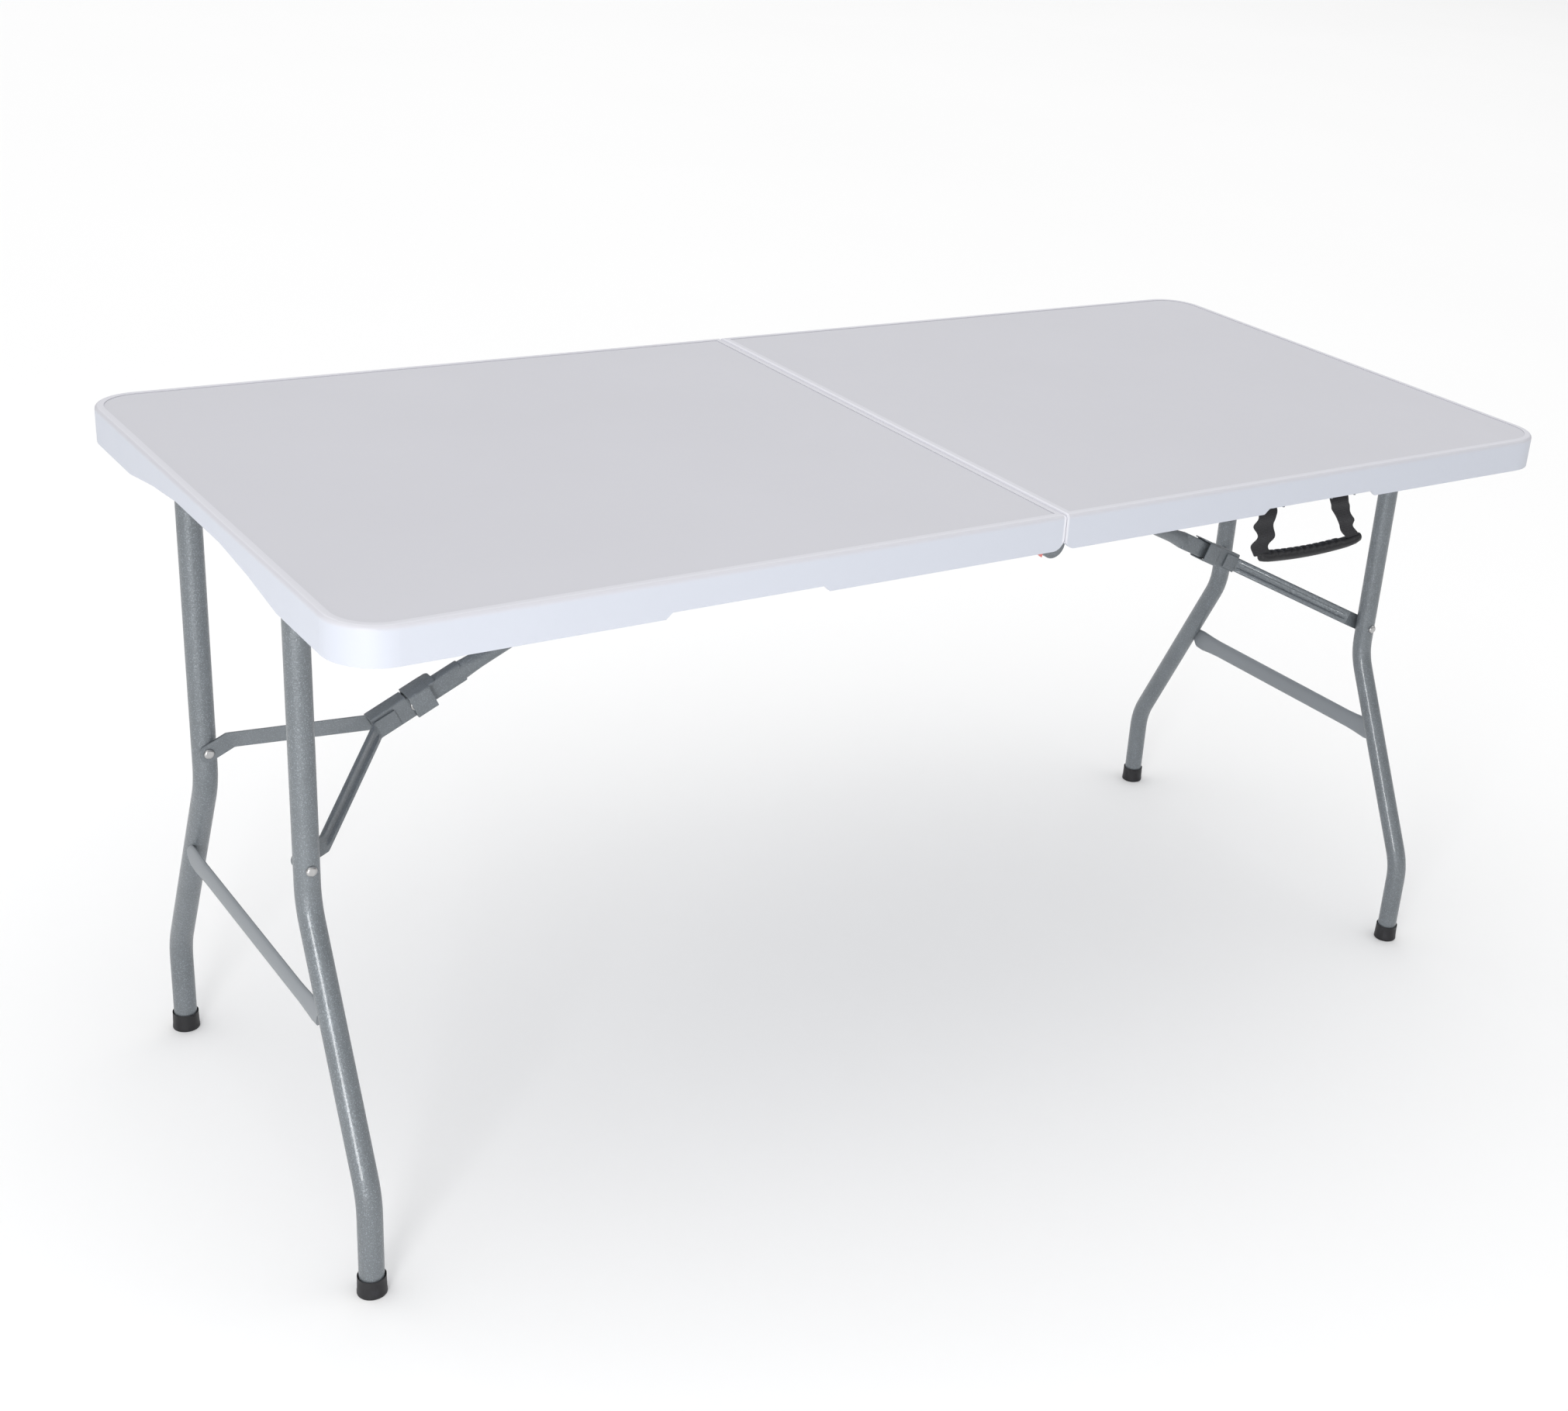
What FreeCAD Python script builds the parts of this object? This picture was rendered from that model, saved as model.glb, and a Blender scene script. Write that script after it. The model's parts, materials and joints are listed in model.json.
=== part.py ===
import FreeCAD, Part
import math
import os
import re
import Sketcher
from FreeCAD import Rotation, Vector

# Folding table that halves like a suitcase: two moulded panels hinged at the seam, a folding
# leg frame under each end and a jointed brace with a sliding lock ring to each frame.
# Frame: +X along the length, +Y to the rear, +Z up, origin on the floor under the centre.
# The right half is drawn; the left half and most front pieces are its mirror images.

SCREWS_PER_RAIL = 5
DIMPLE_COLUMNS = 7
DIMPLE_ROWS = 5

SIZES = {
    # whole table
    "table_length": 1520, "table_width": 700, "table_height": 740,
    # moulded half panel
    "skirt_depth": 38, "plate": 7, "skirt_wall": 4, "seam_gap": 1, "corner_round": 50,
    "top_edge_round": 4, "seam_low_round": 14, "rim_width": 9,
    "rim_height": 0.8, "notch_middle": 373, "notch_length": 178, "notch_depth": 6,
    "notch_slope": 8, "arch_half": 200, "arch_flat_half": 60, "arch_rise": 17,
    "dimple_length": 56, "dimple_width": 18, "dimple_depth": 4, "dimple_first": 95,
    "dimple_end": 57, "dimple_first_row": 62, "dimple_row_end": 68,
    "recess_gap": 0.5, "recess_side": 8.3, "recess_margin": 7,
    # side rails and their screws
    "rail_inset": 20, "rail_width": 24, "rail_depth": 27, "rail_wall": 1.5,
    "rail_setback": 24, "rail_end_gap": 2, "screw_first": 120, "screw_end": 62,
    "screw_dia": 4, "screw_bite": 5, "screw_head_dia": 9, "screw_head_tall": 2.6,
    # centre hinge
    "cheek_thick": 3, "knuckle_round": 15, "hinge_pin_dia": 8, "cheek_reach": 86,
    "pin_head_dia": 13, "pin_head_tall": 3, "running_gap": 0.05,
    # leg frame
    "leg_inset": 37, "tube_dia": 25, "tube_wall": 1.4, "leg_headroom": 3.5,
    "upper_spread": 143, "foot_inset": 33, "upper_bend": 375, "lower_bend": 112,
    "bend_round": 90, "axle_pin_dia": 12, "axle_side_gap": 0.6, "axle_nut_dia": 20,
    "axle_nut_tall": 4, "cap_wall": 2, "cap_tall": 21, "cap_floor": 4, "cap_round": 3,
    "crossbar_middle": 272, "crossbar_tall": 26, "crossbar_end_tall": 32,
    "crossbar_thick": 7.6, "crossbar_offset": 8.4, "crossbar_taper": 45,
    "crossbar_round": 3.4, "rivet_height": 415, "rivet_dia": 6, "rivet_head_dia": 11,
    "rivet_head_tall": 3,
    # brace
    "anchor_place": 75, "bar_headroom": 0.7, "bar_dia": 18, "bar_wall": 1.6,
    "tongue_thick": 12, "tongue_length": 56, "tongue_flare": 2, "ear_margin": 0.5,
    "ear_thick": 2.5, "ear_gap": 0.4, "ear_reach": 47, "web_start": 6,
    "web_thick": 2.5, "brace_pin_dia": 8, "brace_head_dia": 12, "brace_head_tall": 2.2,
    "arm_headroom": 0.2, "arm_thick": 2.5, "arm_start": 22, "arm_tab": 25, "arm_leg_gap": 0.3,
    "bead_tall": 7, "bead_thick": 1.6, "bead_setback": 0.06,
    "ring_before": 20, "ring_after": 4, "ring_gap": 0.4, "ring_side_gap": 0.8, "ring_wall": 1.8,
    "ring_tab": 9, "ring_travel": 120,
    "anchor_back": 20, "anchor_front": 20, "anchor_flange": 20,
    # carrying handle
    "handle_line": 12, "handle_drop": 7, "strap_thick": 2.2, "strap_width": 32,
    "loop_dia": 10, "handle_pin_dia": 6, "handle_left": 302, "handle_right": 415,
    "handle_right_low": 447, "strap_low": 652, "grip_low": 636, "grip_tall": 15,
    "grip_thick": 17, "grip_end": 12, "grip_sag": 7, "hanger_thick": 2, "hanger_gap": 1.5,
    # safety catch
    "catch_thick": 4, "catch_gap": 0.5, "catch_pivot_back": 34, "catch_pivot_up": 10,
    "catch_pin_dia": 4,
}

PLACES = {
    "half_length": "table_length / 2",
    "half_width": "table_width / 2",
    "skirt_bottom": "table_height - skirt_depth",
    "underside": "table_height - plate",
    "seam_face": "seam_gap / 2",
    "rail_outer": "half_width - rail_inset",
    "rail_inner": "rail_outer - rail_width",
    "rail_middle": "rail_outer - rail_width / 2",
    "rail_bottom": "underside - rail_depth",
    "rail_end": "half_length - corner_round + sqrt((corner_round - skirt_wall - rail_end_gap)^2"
                " - (corner_round - rail_inset)^2)",
    "tube_round": "tube_dia / 2",
    "leg_line": "half_length - leg_inset",
    "screw_pitch": f"(rail_end - screw_end - screw_first) / {SCREWS_PER_RAIL - 1}",
    "dimple_pitch": "(half_length - dimple_end - dimple_length - dimple_first)"
                    f" / {DIMPLE_COLUMNS - 1}",
    "dimple_row_pitch": f"(rail_inner - dimple_row_end - dimple_first_row) / {DIMPLE_ROWS - 1}",
    "pivot_height": "underside - tube_round - leg_headroom",
    "foot_spread": "rail_inner - foot_inset",
    "cap_round_out": "tube_round + cap_wall",
    "bend_lean": "atan2(foot_spread - upper_spread; upper_bend - lower_bend)",
    "bend_run": "bend_round * tan(bend_lean / 2)",
    # the brace is dead straight when the leg stands, and its bar is level when the leg is folded
    "anchor_height": "underside - bar_dia / 2 - bar_headroom",
    "leg_reach": "pivot_height - rivet_height",
    "brace_span": "sqrt((leg_line - anchor_place)^2 + (anchor_height - rivet_height)^2)",
    "folded_run": "brace_span + anchor_place - leg_line + leg_reach",
    "arm_length": "(folded_run^2 + (anchor_height - pivot_height)^2) / (2 * folded_run)",
    "bar_length": "brace_span - arm_length",
    "brace_angle": "atan2(anchor_height - rivet_height; leg_line - anchor_place)",
    "elbow_x": "anchor_place + bar_length * cos(brace_angle)",
    "elbow_z": "anchor_height - bar_length * sin(brace_angle)",
    "elbow_folded_x": "anchor_place + bar_length",
    "low_tongue_half": "bar_dia / 2 + tongue_flare",
    "ear_half": "low_tongue_half + ear_margin",
    "ear_inner": "tongue_thick / 2 + ear_gap",
    "ear_outer": "ear_inner + ear_thick",
    "arm_tab_inner": "upper_spread - tube_round - arm_leg_gap - arm_thick",
    "arm_spread": "atan2(arm_tab_inner - ear_outer; arm_length - arm_tab - ear_reach)",
    "arm_miter": "tan(arm_spread / 2)",
    "ring_inner": "ear_half + ring_gap",
    "ring_outer": "ring_inner + ring_wall",
    "ring_side": "ear_outer + brace_head_tall + ring_side_gap",
    "ring_side_outer": "ring_side + ring_wall",
    "brace_recess_depth": "ring_outer + recess_gap - bar_dia / 2 - bar_headroom",
    "brace_recess_half": "ring_side_outer + recess_side",
    "arm_tall": "bar_dia + 2 * (bar_headroom - arm_headroom)",
    "handle_y": "half_width - handle_line",
    "handle_z": "skirt_bottom + handle_drop",
    "knuckle_room": "rail_width / 2 + cheek_thick + pin_head_tall + 2",
    "knuckle_rise": "knuckle_round + 6",
    "anchor_screw_y": "ear_outer + anchor_flange / 2",
    "catch_x": "-catch_pivot_back",
    "catch_z": "skirt_bottom + catch_pivot_up",
    "catch_near": "rail_outer + cheek_thick + catch_gap",
    "bar_top": "-bar_length",
}

doc = FreeCAD.newDocument("FoldingTable")
finished = []


def full(formula):
    """Formula in plain names to one that names the two sheets' cells."""
    def cell(match):
        word = match.group(0)
        if word in SIZES:
            return "Sizes." + word
        return "Places." + word if word in PLACES else word
    return re.sub(r"[a-z][a-z_0-9]*", cell, str(formula))


def fill_sheets():
    sizes = doc.addObject("Spreadsheet::Sheet", "Sizes")
    places = doc.addObject("Spreadsheet::Sheet", "Places")
    for row, (name, number) in enumerate(SIZES.items(), start=1):
        sizes.set(f"A{row}", name)
        sizes.set(f"B{row}", str(number))
        sizes.setAlias(f"B{row}", name)
    for row, name in enumerate(PLACES, start=1):
        places.set(f"A{row}", name)
        places.setAlias(f"B{row}", name)
    for row, formula in enumerate(PLACES.values(), start=1):
        sheet_formula = full(formula).replace("Places.", "")
        places.set(f"B{row}", "=" + sheet_formula)
    doc.recompute()


def value(formula):
    """A formula's present value, as a plain number."""
    result = doc.Places.evalExpression(full(formula))
    return float(getattr(result, "Value", result))


# ---- sketches -------------------------------------------------------------------------------

def new_body(name):
    body = doc.addObject("PartDesign::Body", name)
    body.Label = name
    return body


def new_sketch(body, name, plane, offset="0"):
    sketch = body.newObject("Sketcher::SketchObject", f"{body.Name}_{name}")
    origin_plane = next(f for f in body.Origin.OriginFeatures if f.Role == plane + "_Plane")
    sketch.AttachmentSupport = [(origin_plane, "")]
    sketch.MapMode = "FlatFace"
    sketch.setExpression("AttachmentOffset.Base.z", full(offset))
    doc.recompute()
    return sketch


def fix(sketch, kind, elements, formula):
    """Dimension whose value follows a formula."""
    index = sketch.addConstraint(Sketcher.Constraint(kind, *elements, value(formula)))
    sketch.setExpression(f"Constraints[{index}]", full(formula))


def fix_point(sketch, geometry, point, x, y):
    fix(sketch, "DistanceX", (-1, 1, geometry, point), x)
    fix(sketch, "DistanceY", (-1, 1, geometry, point), y)


def add_loop(sketch, corners):
    """Closed outline with straight sides. A corner is a pair of formulas."""
    points = [Vector(value(x), value(y), 0) for x, y in corners]
    count = len(points)
    first = sketch.GeometryCount
    for index in range(count):
        sketch.addGeometry(Part.LineSegment(points[index], points[(index + 1) % count]), False)
    for index in range(count):
        following = first + (index + 1) % count
        sketch.addConstraint(Sketcher.Constraint("Coincident", first + index, 2, following, 1))
    for index, (x, y) in enumerate(corners):
        fix_point(sketch, first + index, 1, x, y)


def add_circle(sketch, x, y, radius):
    centre = Vector(value(x), value(y), 0)
    index = sketch.addGeometry(Part.Circle(centre, Vector(0, 0, 1), value(radius)), False)
    fix_point(sketch, index, 3, x, y)
    fix(sketch, "Radius", (index,), radius)


def rounded_end(body, name, inset_x, inset_end, offset):
    """Half-table outline: square at the seam, rounded at the two end corners."""
    sketch = new_sketch(body, name, "XY", offset)
    start, end = f"seam_face + {inset_x}", f"half_length - {inset_end}"
    side = f"half_width - {inset_end}"
    radius = f"corner_round - {inset_end}"
    corners = [(start, f"-({side})"), (f"{end} - ({radius})", f"-({side})"),
               (end, f"-({side} - ({radius}))"), (end, f"{side} - ({radius})"),
               (f"{end} - ({radius})", side), (start, side)]
    points = [Vector(value(x), value(y), 0) for x, y in corners]
    lines = ((0, 1), (2, 3), (4, 5), (5, 0))
    for first, last in lines:
        line = sketch.addGeometry(Part.LineSegment(points[first], points[last]), False)
        fix_point(sketch, line, 1, *corners[first])
        fix_point(sketch, line, 2, *corners[last])
    for line, following, first in ((0, 1, 1), (1, 2, 3)):
        outward = Vector(1, 1 if first == 3 else -1, 0).normalize()
        middle = Vector(value(f"{end} - ({radius})"),
                        value(f"{side} - ({radius})") * (1 if first == 3 else -1), 0)
        bulge = middle + outward * value(radius)
        arc = sketch.addGeometry(Part.Arc(points[first], bulge, points[first + 1]), False)
        sketch.addConstraint(Sketcher.Constraint("Coincident", line, 2, arc, 1))
        sketch.addConstraint(Sketcher.Constraint("Coincident", arc, 2, following, 1))
        fix(sketch, "Radius", (arc,), radius)
    return sketch


def polygon(body, name, plane, corners, offset="0"):
    sketch = new_sketch(body, name, plane, offset)
    add_loop(sketch, corners)
    return sketch


def circle(body, name, plane, x, y, radius, offset="0"):
    sketch = new_sketch(body, name, plane, offset)
    add_circle(sketch, x, y, radius)
    return sketch


def rectangle(body, name, plane, low, high, offset="0"):
    (x0, y0), (x1, y1) = low, high
    return polygon(body, name, plane, [(x0, y0), (x1, y0), (x1, y1), (x0, y1)], offset)


# ---- features -------------------------------------------------------------------------------

def feature(body, kind, sketch, length, both, back):
    made = body.newObject("PartDesign::" + kind, f"{sketch.Name}_{kind}")
    made.Profile = sketch
    made.setExpression("Length", full(length))
    made.Midplane = both
    made.Reversed = back
    doc.recompute()
    return made


def pad(body, sketch, length, both=False, back=False):
    return feature(body, "Pad", sketch, length, both, back)


def pocket(body, sketch, length, both=False, back=False):
    before = body.Shape.Volume
    made = feature(body, "Pocket", sketch, length, both, back)
    if body.Shape.Volume > before - 0.01:
        raise RuntimeError(f"{made.Name} cuts nothing")
    return made


def soften(body, kind, radius, test):
    """Fillet or chamfer of the edges that pass the test."""
    names = [f"Edge{number}" for number, edge in enumerate(body.Shape.Edges, start=1) if test(edge)]
    if not names:
        raise RuntimeError(f"{body.Label} has no edge to soften")
    base = body.Tip
    made = body.newObject("PartDesign::" + kind, f"{body.Name}_{kind}")
    made.Base = (base, names)
    made.setExpression("Radius" if kind == "Fillet" else "Size", full(radius))
    body.Tip = made
    doc.recompute()
    if "Invalid" in made.State:
        raise RuntimeError(f"{made.Name} can't be made")
    return made


def near(a, b, within=0.05):
    return abs(a - b) < within


def centre(edge):
    return edge.BoundBox.Center


def turned(name, plane, corners):
    """Body of revolution about its own Y (plane XY) or Z (plane XZ); corners are (radius, along)."""
    body = new_body(name)
    sketch = polygon(body, "profile", plane, corners)
    spin = body.newObject("PartDesign::Revolution", name + "_spin")
    spin.Profile = sketch
    spin.ReferenceAxis = (sketch, ["V_Axis"])
    spin.Angle = 360
    doc.recompute()
    return body


def place(obj, x, y, z):
    for axis, formula in zip("xyz", (x, y, z)):
        obj.setExpression(f"Placement.Base.{axis}", full(formula))
    return obj


def place_on_brace(body):
    """Body drawn with its X along the brace and its origin at the elbow pin."""
    body.Placement.Rotation = Rotation(Vector(0, 1, 0), value("brace_angle"))
    body.setExpression("Placement.Rotation.Angle", full("brace_angle"))
    return place(body, "elbow_x", "0", "elbow_z")


# ---- finished pieces ------------------------------------------------------------------------

def finish(obj, name=None):
    obj.Label = name or obj.Label
    finished.append(obj)
    return obj


def mirrored(name, source, normal):
    copy = doc.addObject("Part::Mirroring", name)
    copy.Source = source
    copy.Normal = normal
    return finish(copy, name)


def left_and_right(piece, stem):
    """The piece is the right one; its mirror image is the left one."""
    finish(piece, "right_" + stem)
    mirrored("left_" + stem, piece, Vector(1, 0, 0))


def four_corners(piece, stem):
    """The piece is the right rear one."""
    finish(piece, f"right_{stem}_rear")
    front = mirrored(f"right_{stem}_front", piece, Vector(0, 1, 0))
    mirrored(f"left_{stem}_rear", piece, Vector(1, 0, 0))
    mirrored(f"left_{stem}_front", front, Vector(1, 0, 0))


def group(name, pieces):
    """Separate solids that share one node."""
    made = doc.addObject("Part::Compound", name)
    made.Links = pieces
    return made


def twin(piece, normal):
    """Mirror image that isn't a node of its own."""
    copy = doc.addObject("Part::Mirroring", piece.Name + "_twin")
    copy.Source = piece
    copy.Normal = normal
    return copy


# ---- half panels ----------------------------------------------------------------------------

def round_panel_edges(body):
    x_seam = value("seam_face")
    bottom, top = value("skirt_bottom"), value("table_height")
    soften(body, "Fillet", "seam_low_round",
           lambda e: near(centre(e).x, x_seam) and near(centre(e).z, bottom))
    soften(body, "Fillet", "top_edge_round",
           lambda e: near(e.BoundBox.ZLength, 0) and near(centre(e).z, top))


def hollow_panel(body):
    inner = rounded_end(body, "hollow", "skirt_wall", "skirt_wall", "skirt_bottom")
    pocket(body, inner, "skirt_depth - plate", back=True)


def rim_of_panel(body):
    """The working surface lies a little below a narrow rim."""
    surface = rounded_end(body, "surface", "rim_width", "rim_width", "table_height")
    pocket(body, surface, "rim_height")


def skirt_openings(body):
    notch = polygon(body, "notch", "XZ", [
        ("notch_middle - notch_length / 2", "skirt_bottom - 1"),
        ("notch_middle + notch_length / 2", "skirt_bottom - 1"),
        ("notch_middle + notch_length / 2 - notch_slope", "skirt_bottom + notch_depth"),
        ("notch_middle - notch_length / 2 + notch_slope", "skirt_bottom + notch_depth")])
    pocket(body, notch, "half_width + 1", back=True)
    arch = polygon(body, "arch", "YZ", [
        ("-arch_half", "skirt_bottom - 1"), ("arch_half", "skirt_bottom - 1"),
        ("arch_half", "skirt_bottom"),
        ("(arch_half + arch_flat_half) / 2", "skirt_bottom + arch_rise * 0.62"),
        ("arch_flat_half", "skirt_bottom + arch_rise"),
        ("-arch_flat_half", "skirt_bottom + arch_rise"),
        ("-(arch_half + arch_flat_half) / 2", "skirt_bottom + arch_rise * 0.62"),
        ("-arch_half", "skirt_bottom")], "half_length / 2")
    pocket(body, arch, "half_length", back=True)
    for side, name in (("-1", "front"), ("1", "rear")):
        hinge = rectangle(body, "hinge_" + name, "YZ",
                          (f"{side} * rail_middle - knuckle_room", "skirt_bottom - 1"),
                          (f"{side} * rail_middle + knuckle_room", "skirt_bottom + knuckle_rise"))
        pocket(body, hinge, "seam_face + skirt_wall + 1", back=True)


def underside_of_panel(body):
    recess = rectangle(body, "brace_recess", "XY",
                       ("elbow_folded_x - ring_before - ring_travel - ring_tab - recess_margin",
                        "-brace_recess_half"),
                       ("elbow_folded_x + ear_half + recess_margin", "brace_recess_half"),
                       "underside")
    pocket(body, recess, "brace_recess_depth", back=True)
    pilot = new_sketch(body, "pilot_holes", "XY", "underside")
    for number in range(SCREWS_PER_RAIL):
        for side in ("rail_middle", "-rail_middle"):
            add_circle(pilot, f"screw_first + {number} * screw_pitch", side, "screw_dia / 2")
    for side in ("1", "-1"):
        add_circle(pilot, "anchor_place", f"{side} * anchor_screw_y", "screw_dia / 2")
    pocket(body, pilot, "screw_bite", back=True)


def dimples_of_panel(body):
    """Rows of moulded dimples that stiffen the underside."""
    dimple = rectangle(body, "dimple", "XY",
                       ("dimple_first", "dimple_first_row - dimple_width / 2"),
                       ("dimple_first + dimple_length", "dimple_first_row + dimple_width / 2"),
                       "underside")
    cut = pocket(body, dimple, "dimple_depth", back=True)
    x_axis, y_axis, mirror_plane = (
        next(f for f in body.Origin.OriginFeatures if f.Role == role)
        for role in ("X_Axis", "Y_Axis", "XZ_Plane"))
    columns = body.newObject("PartDesign::LinearPattern", "dimple_columns")
    columns.Direction = (x_axis, [""])
    columns.setExpression("Length", full(f"dimple_pitch * {DIMPLE_COLUMNS - 1}"))
    columns.Occurrences = DIMPLE_COLUMNS
    rows = body.newObject("PartDesign::LinearPattern", "dimple_rows")
    rows.Direction = (y_axis, [""])
    rows.setExpression("Length", full(f"dimple_row_pitch * {DIMPLE_ROWS - 1}"))
    rows.Occurrences = DIMPLE_ROWS
    sides = body.newObject("PartDesign::Mirrored", "dimple_sides")
    sides.MirrorPlane = (mirror_plane, [""])
    pattern = body.newObject("PartDesign::MultiTransform", "dimples")
    pattern.Originals = [cut]
    pattern.Transformations = [columns, rows, sides]
    body.Tip = pattern
    doc.recompute()


def make_panels():
    body = new_body("right_panel")
    block = rounded_end(body, "block", "0", "0", "skirt_bottom")
    pad(body, block, "skirt_depth")
    round_panel_edges(body)
    hollow_panel(body)
    rim_of_panel(body)
    skirt_openings(body)
    underside_of_panel(body)
    dimples_of_panel(body)
    left_and_right(body, "panel")


# ---- side rails, screws and centre hinges -----------------------------------------------------

def make_rails():
    body = new_body("right_rail_rear")
    profile = polygon(body, "profile", "YZ", [
        ("rail_inner", "rail_bottom"), ("rail_inner + rail_wall", "rail_bottom"),
        ("rail_inner + rail_wall", "underside - rail_wall"),
        ("rail_outer - rail_wall", "underside - rail_wall"),
        ("rail_outer - rail_wall", "rail_bottom"), ("rail_outer", "rail_bottom"),
        ("rail_outer", "underside"), ("rail_inner", "underside")], "rail_setback")
    pad(body, profile, "rail_end - rail_setback")
    axle_hole = circle(body, "axle_hole", "XZ", "leg_line", "pivot_height",
                       "axle_pin_dia / 2 + running_gap")
    pocket(body, axle_hole, "half_width")
    screw_holes = new_sketch(body, "screw_holes", "XY", "underside")
    for number in range(SCREWS_PER_RAIL):
        add_circle(screw_holes, f"screw_first + {number} * screw_pitch", "rail_middle",
                   "screw_dia / 2")
    pocket(body, screw_holes, "rail_wall")
    four_corners(body, "rail")


def screw(name, x, y, seat):
    """Pan-head screw driven up into a panel, its head under the height called seat."""
    grip = f"underside + screw_bite - ({seat})"
    shank = doc.addObject("Part::Cylinder", name + "_shank")
    shank.setExpression("Radius", full("screw_dia / 2"))
    shank.setExpression("Height", full(grip))
    head = doc.addObject("Part::Cone", name + "_head")
    head.setExpression("Radius1", full("screw_head_dia * 0.34"))
    head.setExpression("Radius2", full("screw_head_dia / 2"))
    head.setExpression("Height", full("screw_head_tall"))
    place(shank, x, y, seat)
    place(head, x, y, f"{seat} - screw_head_tall")
    whole = doc.addObject("Part::Fuse", name)
    whole.Base = head
    whole.Tool = shank
    return whole


def make_screws():
    under_web = "underside - rail_wall"
    rail_screws = []
    for number in range(SCREWS_PER_RAIL):
        place_x = f"screw_first + {number} * screw_pitch"
        for side, sign in (("rear", ""), ("front", "-")):
            rail_screws.append(screw(f"rail_screw_{side}_{number}", place_x,
                                     f"{sign}rail_middle", under_web))
    left_and_right(group("right_rail_screws", rail_screws), "rail_screws")
    under_flange = "underside - ear_thick"
    anchor_screws = [screw("anchor_screw_rear", "anchor_place", "anchor_screw_y", under_flange),
                     screw("anchor_screw_front", "anchor_place", "-anchor_screw_y", under_flange)]
    left_and_right(group("right_anchor_screws", anchor_screws), "anchor_screws")


def cheek(body, name, side, start, end, hole):
    """One hinge plate on the XZ outline: a knuckle on the seam and a tail along the rail."""
    low, high = "rail_bottom + 1", "underside - rail_wall - 1"
    thick = f"{end} - ({start})"
    tail = polygon(body, name, "XZ", [
        (f"{side} * knuckle_round * 0.3", "skirt_bottom - knuckle_round * 0.9"),
        (f"{side} * (rail_setback + 8)", low), (f"{side} * cheek_reach", low),
        (f"{side} * cheek_reach", high), (f"{side} * (rail_setback + 4)", high),
        (f"{side} * knuckle_round * 0.1", "skirt_bottom + knuckle_round * 0.9")], f"-({start})")
    pad(body, tail, thick, back=True)
    knuckle = circle(body, name + "_knuckle", "XZ", "0", "skirt_bottom", "knuckle_round",
                     f"-({start})")
    pad(body, knuckle, thick, back=True)
    bore = circle(body, name + "_bore", "XZ", "0", "skirt_bottom", hole, f"-({start})")
    pocket(body, bore, thick)


def make_hinges():
    inside = (("rail_inner + rail_wall", "rail_inner + rail_wall + cheek_thick"),
              ("rail_outer - rail_wall - cheek_thick", "rail_outer - rail_wall"))
    outside = (("rail_inner - cheek_thick", "rail_inner"),
               ("rail_outer", "rail_outer + cheek_thick"))
    kinds = (("right", "1", inside, "hinge_pin_dia / 2 + running_gap"),
             ("left", "-1", outside, "hinge_pin_dia / 2"))
    for half, side, spans, hole in kinds:
        plates = []
        for name, (start, end) in zip(("inner", "outer"), spans):
            body = new_body(f"{half}_{name}_cheek")
            cheek(body, name, side, start, end, hole)
            plates.append(body)
        rear = finish(group(f"{half}_hinge_rear", plates), f"{half}_hinge_rear")
        mirrored(f"{half}_hinge_front", rear, Vector(0, 1, 0))


def pin_with_heads(name, half_grip, radius, head_radius, head_tall):
    """Pin along Y with a domed head at each end, centred on its body's origin."""
    body = turned(name, "XY", [
        ("0", f"-({half_grip} + {head_tall})"), (head_radius, f"-({half_grip} + {head_tall})"),
        (head_radius, f"-({half_grip})"), (radius, f"-({half_grip})"), (radius, half_grip),
        (head_radius, half_grip), (head_radius, f"{half_grip} + {head_tall}"),
        ("0", f"{half_grip} + {head_tall}")])
    end = value(f"{half_grip} + {head_tall}")
    soften(body, "Fillet", f"{head_tall} * 0.8",
           lambda e: near(abs(centre(e).y), end) and near(e.BoundBox.XLength,
                                                          2 * value(head_radius)))
    return body


def make_hinge_pins():
    rear = pin_with_heads("hinge_pin_rear", "rail_width / 2 + cheek_thick", "hinge_pin_dia / 2",
                          "pin_head_dia / 2", "pin_head_tall")
    place(rear, "0", "rail_middle", "skirt_bottom")
    finish(rear)
    mirrored("hinge_pin_front", rear, Vector(0, 1, 0))


# ---- leg frames -------------------------------------------------------------------------------

def leg_spine(body):
    """Centre line of a leg: straight down, out along the slant, straight down to the foot."""
    sketch = new_sketch(body, "spine", "YZ", "leg_line")
    side, down = "bend_run * sin(bend_lean)", "bend_run * cos(bend_lean)"
    points = [("upper_spread", "pivot_height"), ("upper_spread", "upper_bend + bend_run"),
              (f"upper_spread + {side}", f"upper_bend - {down}"),
              (f"foot_spread - {side}", f"lower_bend + {down}"),
              ("foot_spread", "lower_bend - bend_run"), ("foot_spread", "cap_floor")]
    places = [Vector(value(x), value(y), 0) for x, y in points]
    for first in (0, 2, 4):
        line = sketch.addGeometry(Part.LineSegment(places[first], places[first + 1]), False)
        fix_point(sketch, line, 1, *points[first])
        fix_point(sketch, line, 2, *points[first + 1])
    # each arc runs anticlockwise, so the lower one starts at the foot's side
    radius, lean = value("bend_round"), math.radians(value("bend_lean"))
    turns = ((0, 1, places[1] + Vector(radius, 0, 0), math.pi, 1),
             (1, 2, places[4] - Vector(radius, 0, 0), 0, 2))
    for line, following, middle, start, entry in turns:
        ring = Part.Circle(middle, Vector(0, 0, 1), radius)
        arc = sketch.addGeometry(Part.ArcOfCircle(ring, start, start + lean), False)
        sketch.addConstraint(Sketcher.Constraint("Coincident", line, 2, arc, entry))
        sketch.addConstraint(Sketcher.Constraint("Coincident", arc, 3 - entry, following, 1))
        fix(sketch, "Radius", (arc,), "bend_round")
    return sketch


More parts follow.
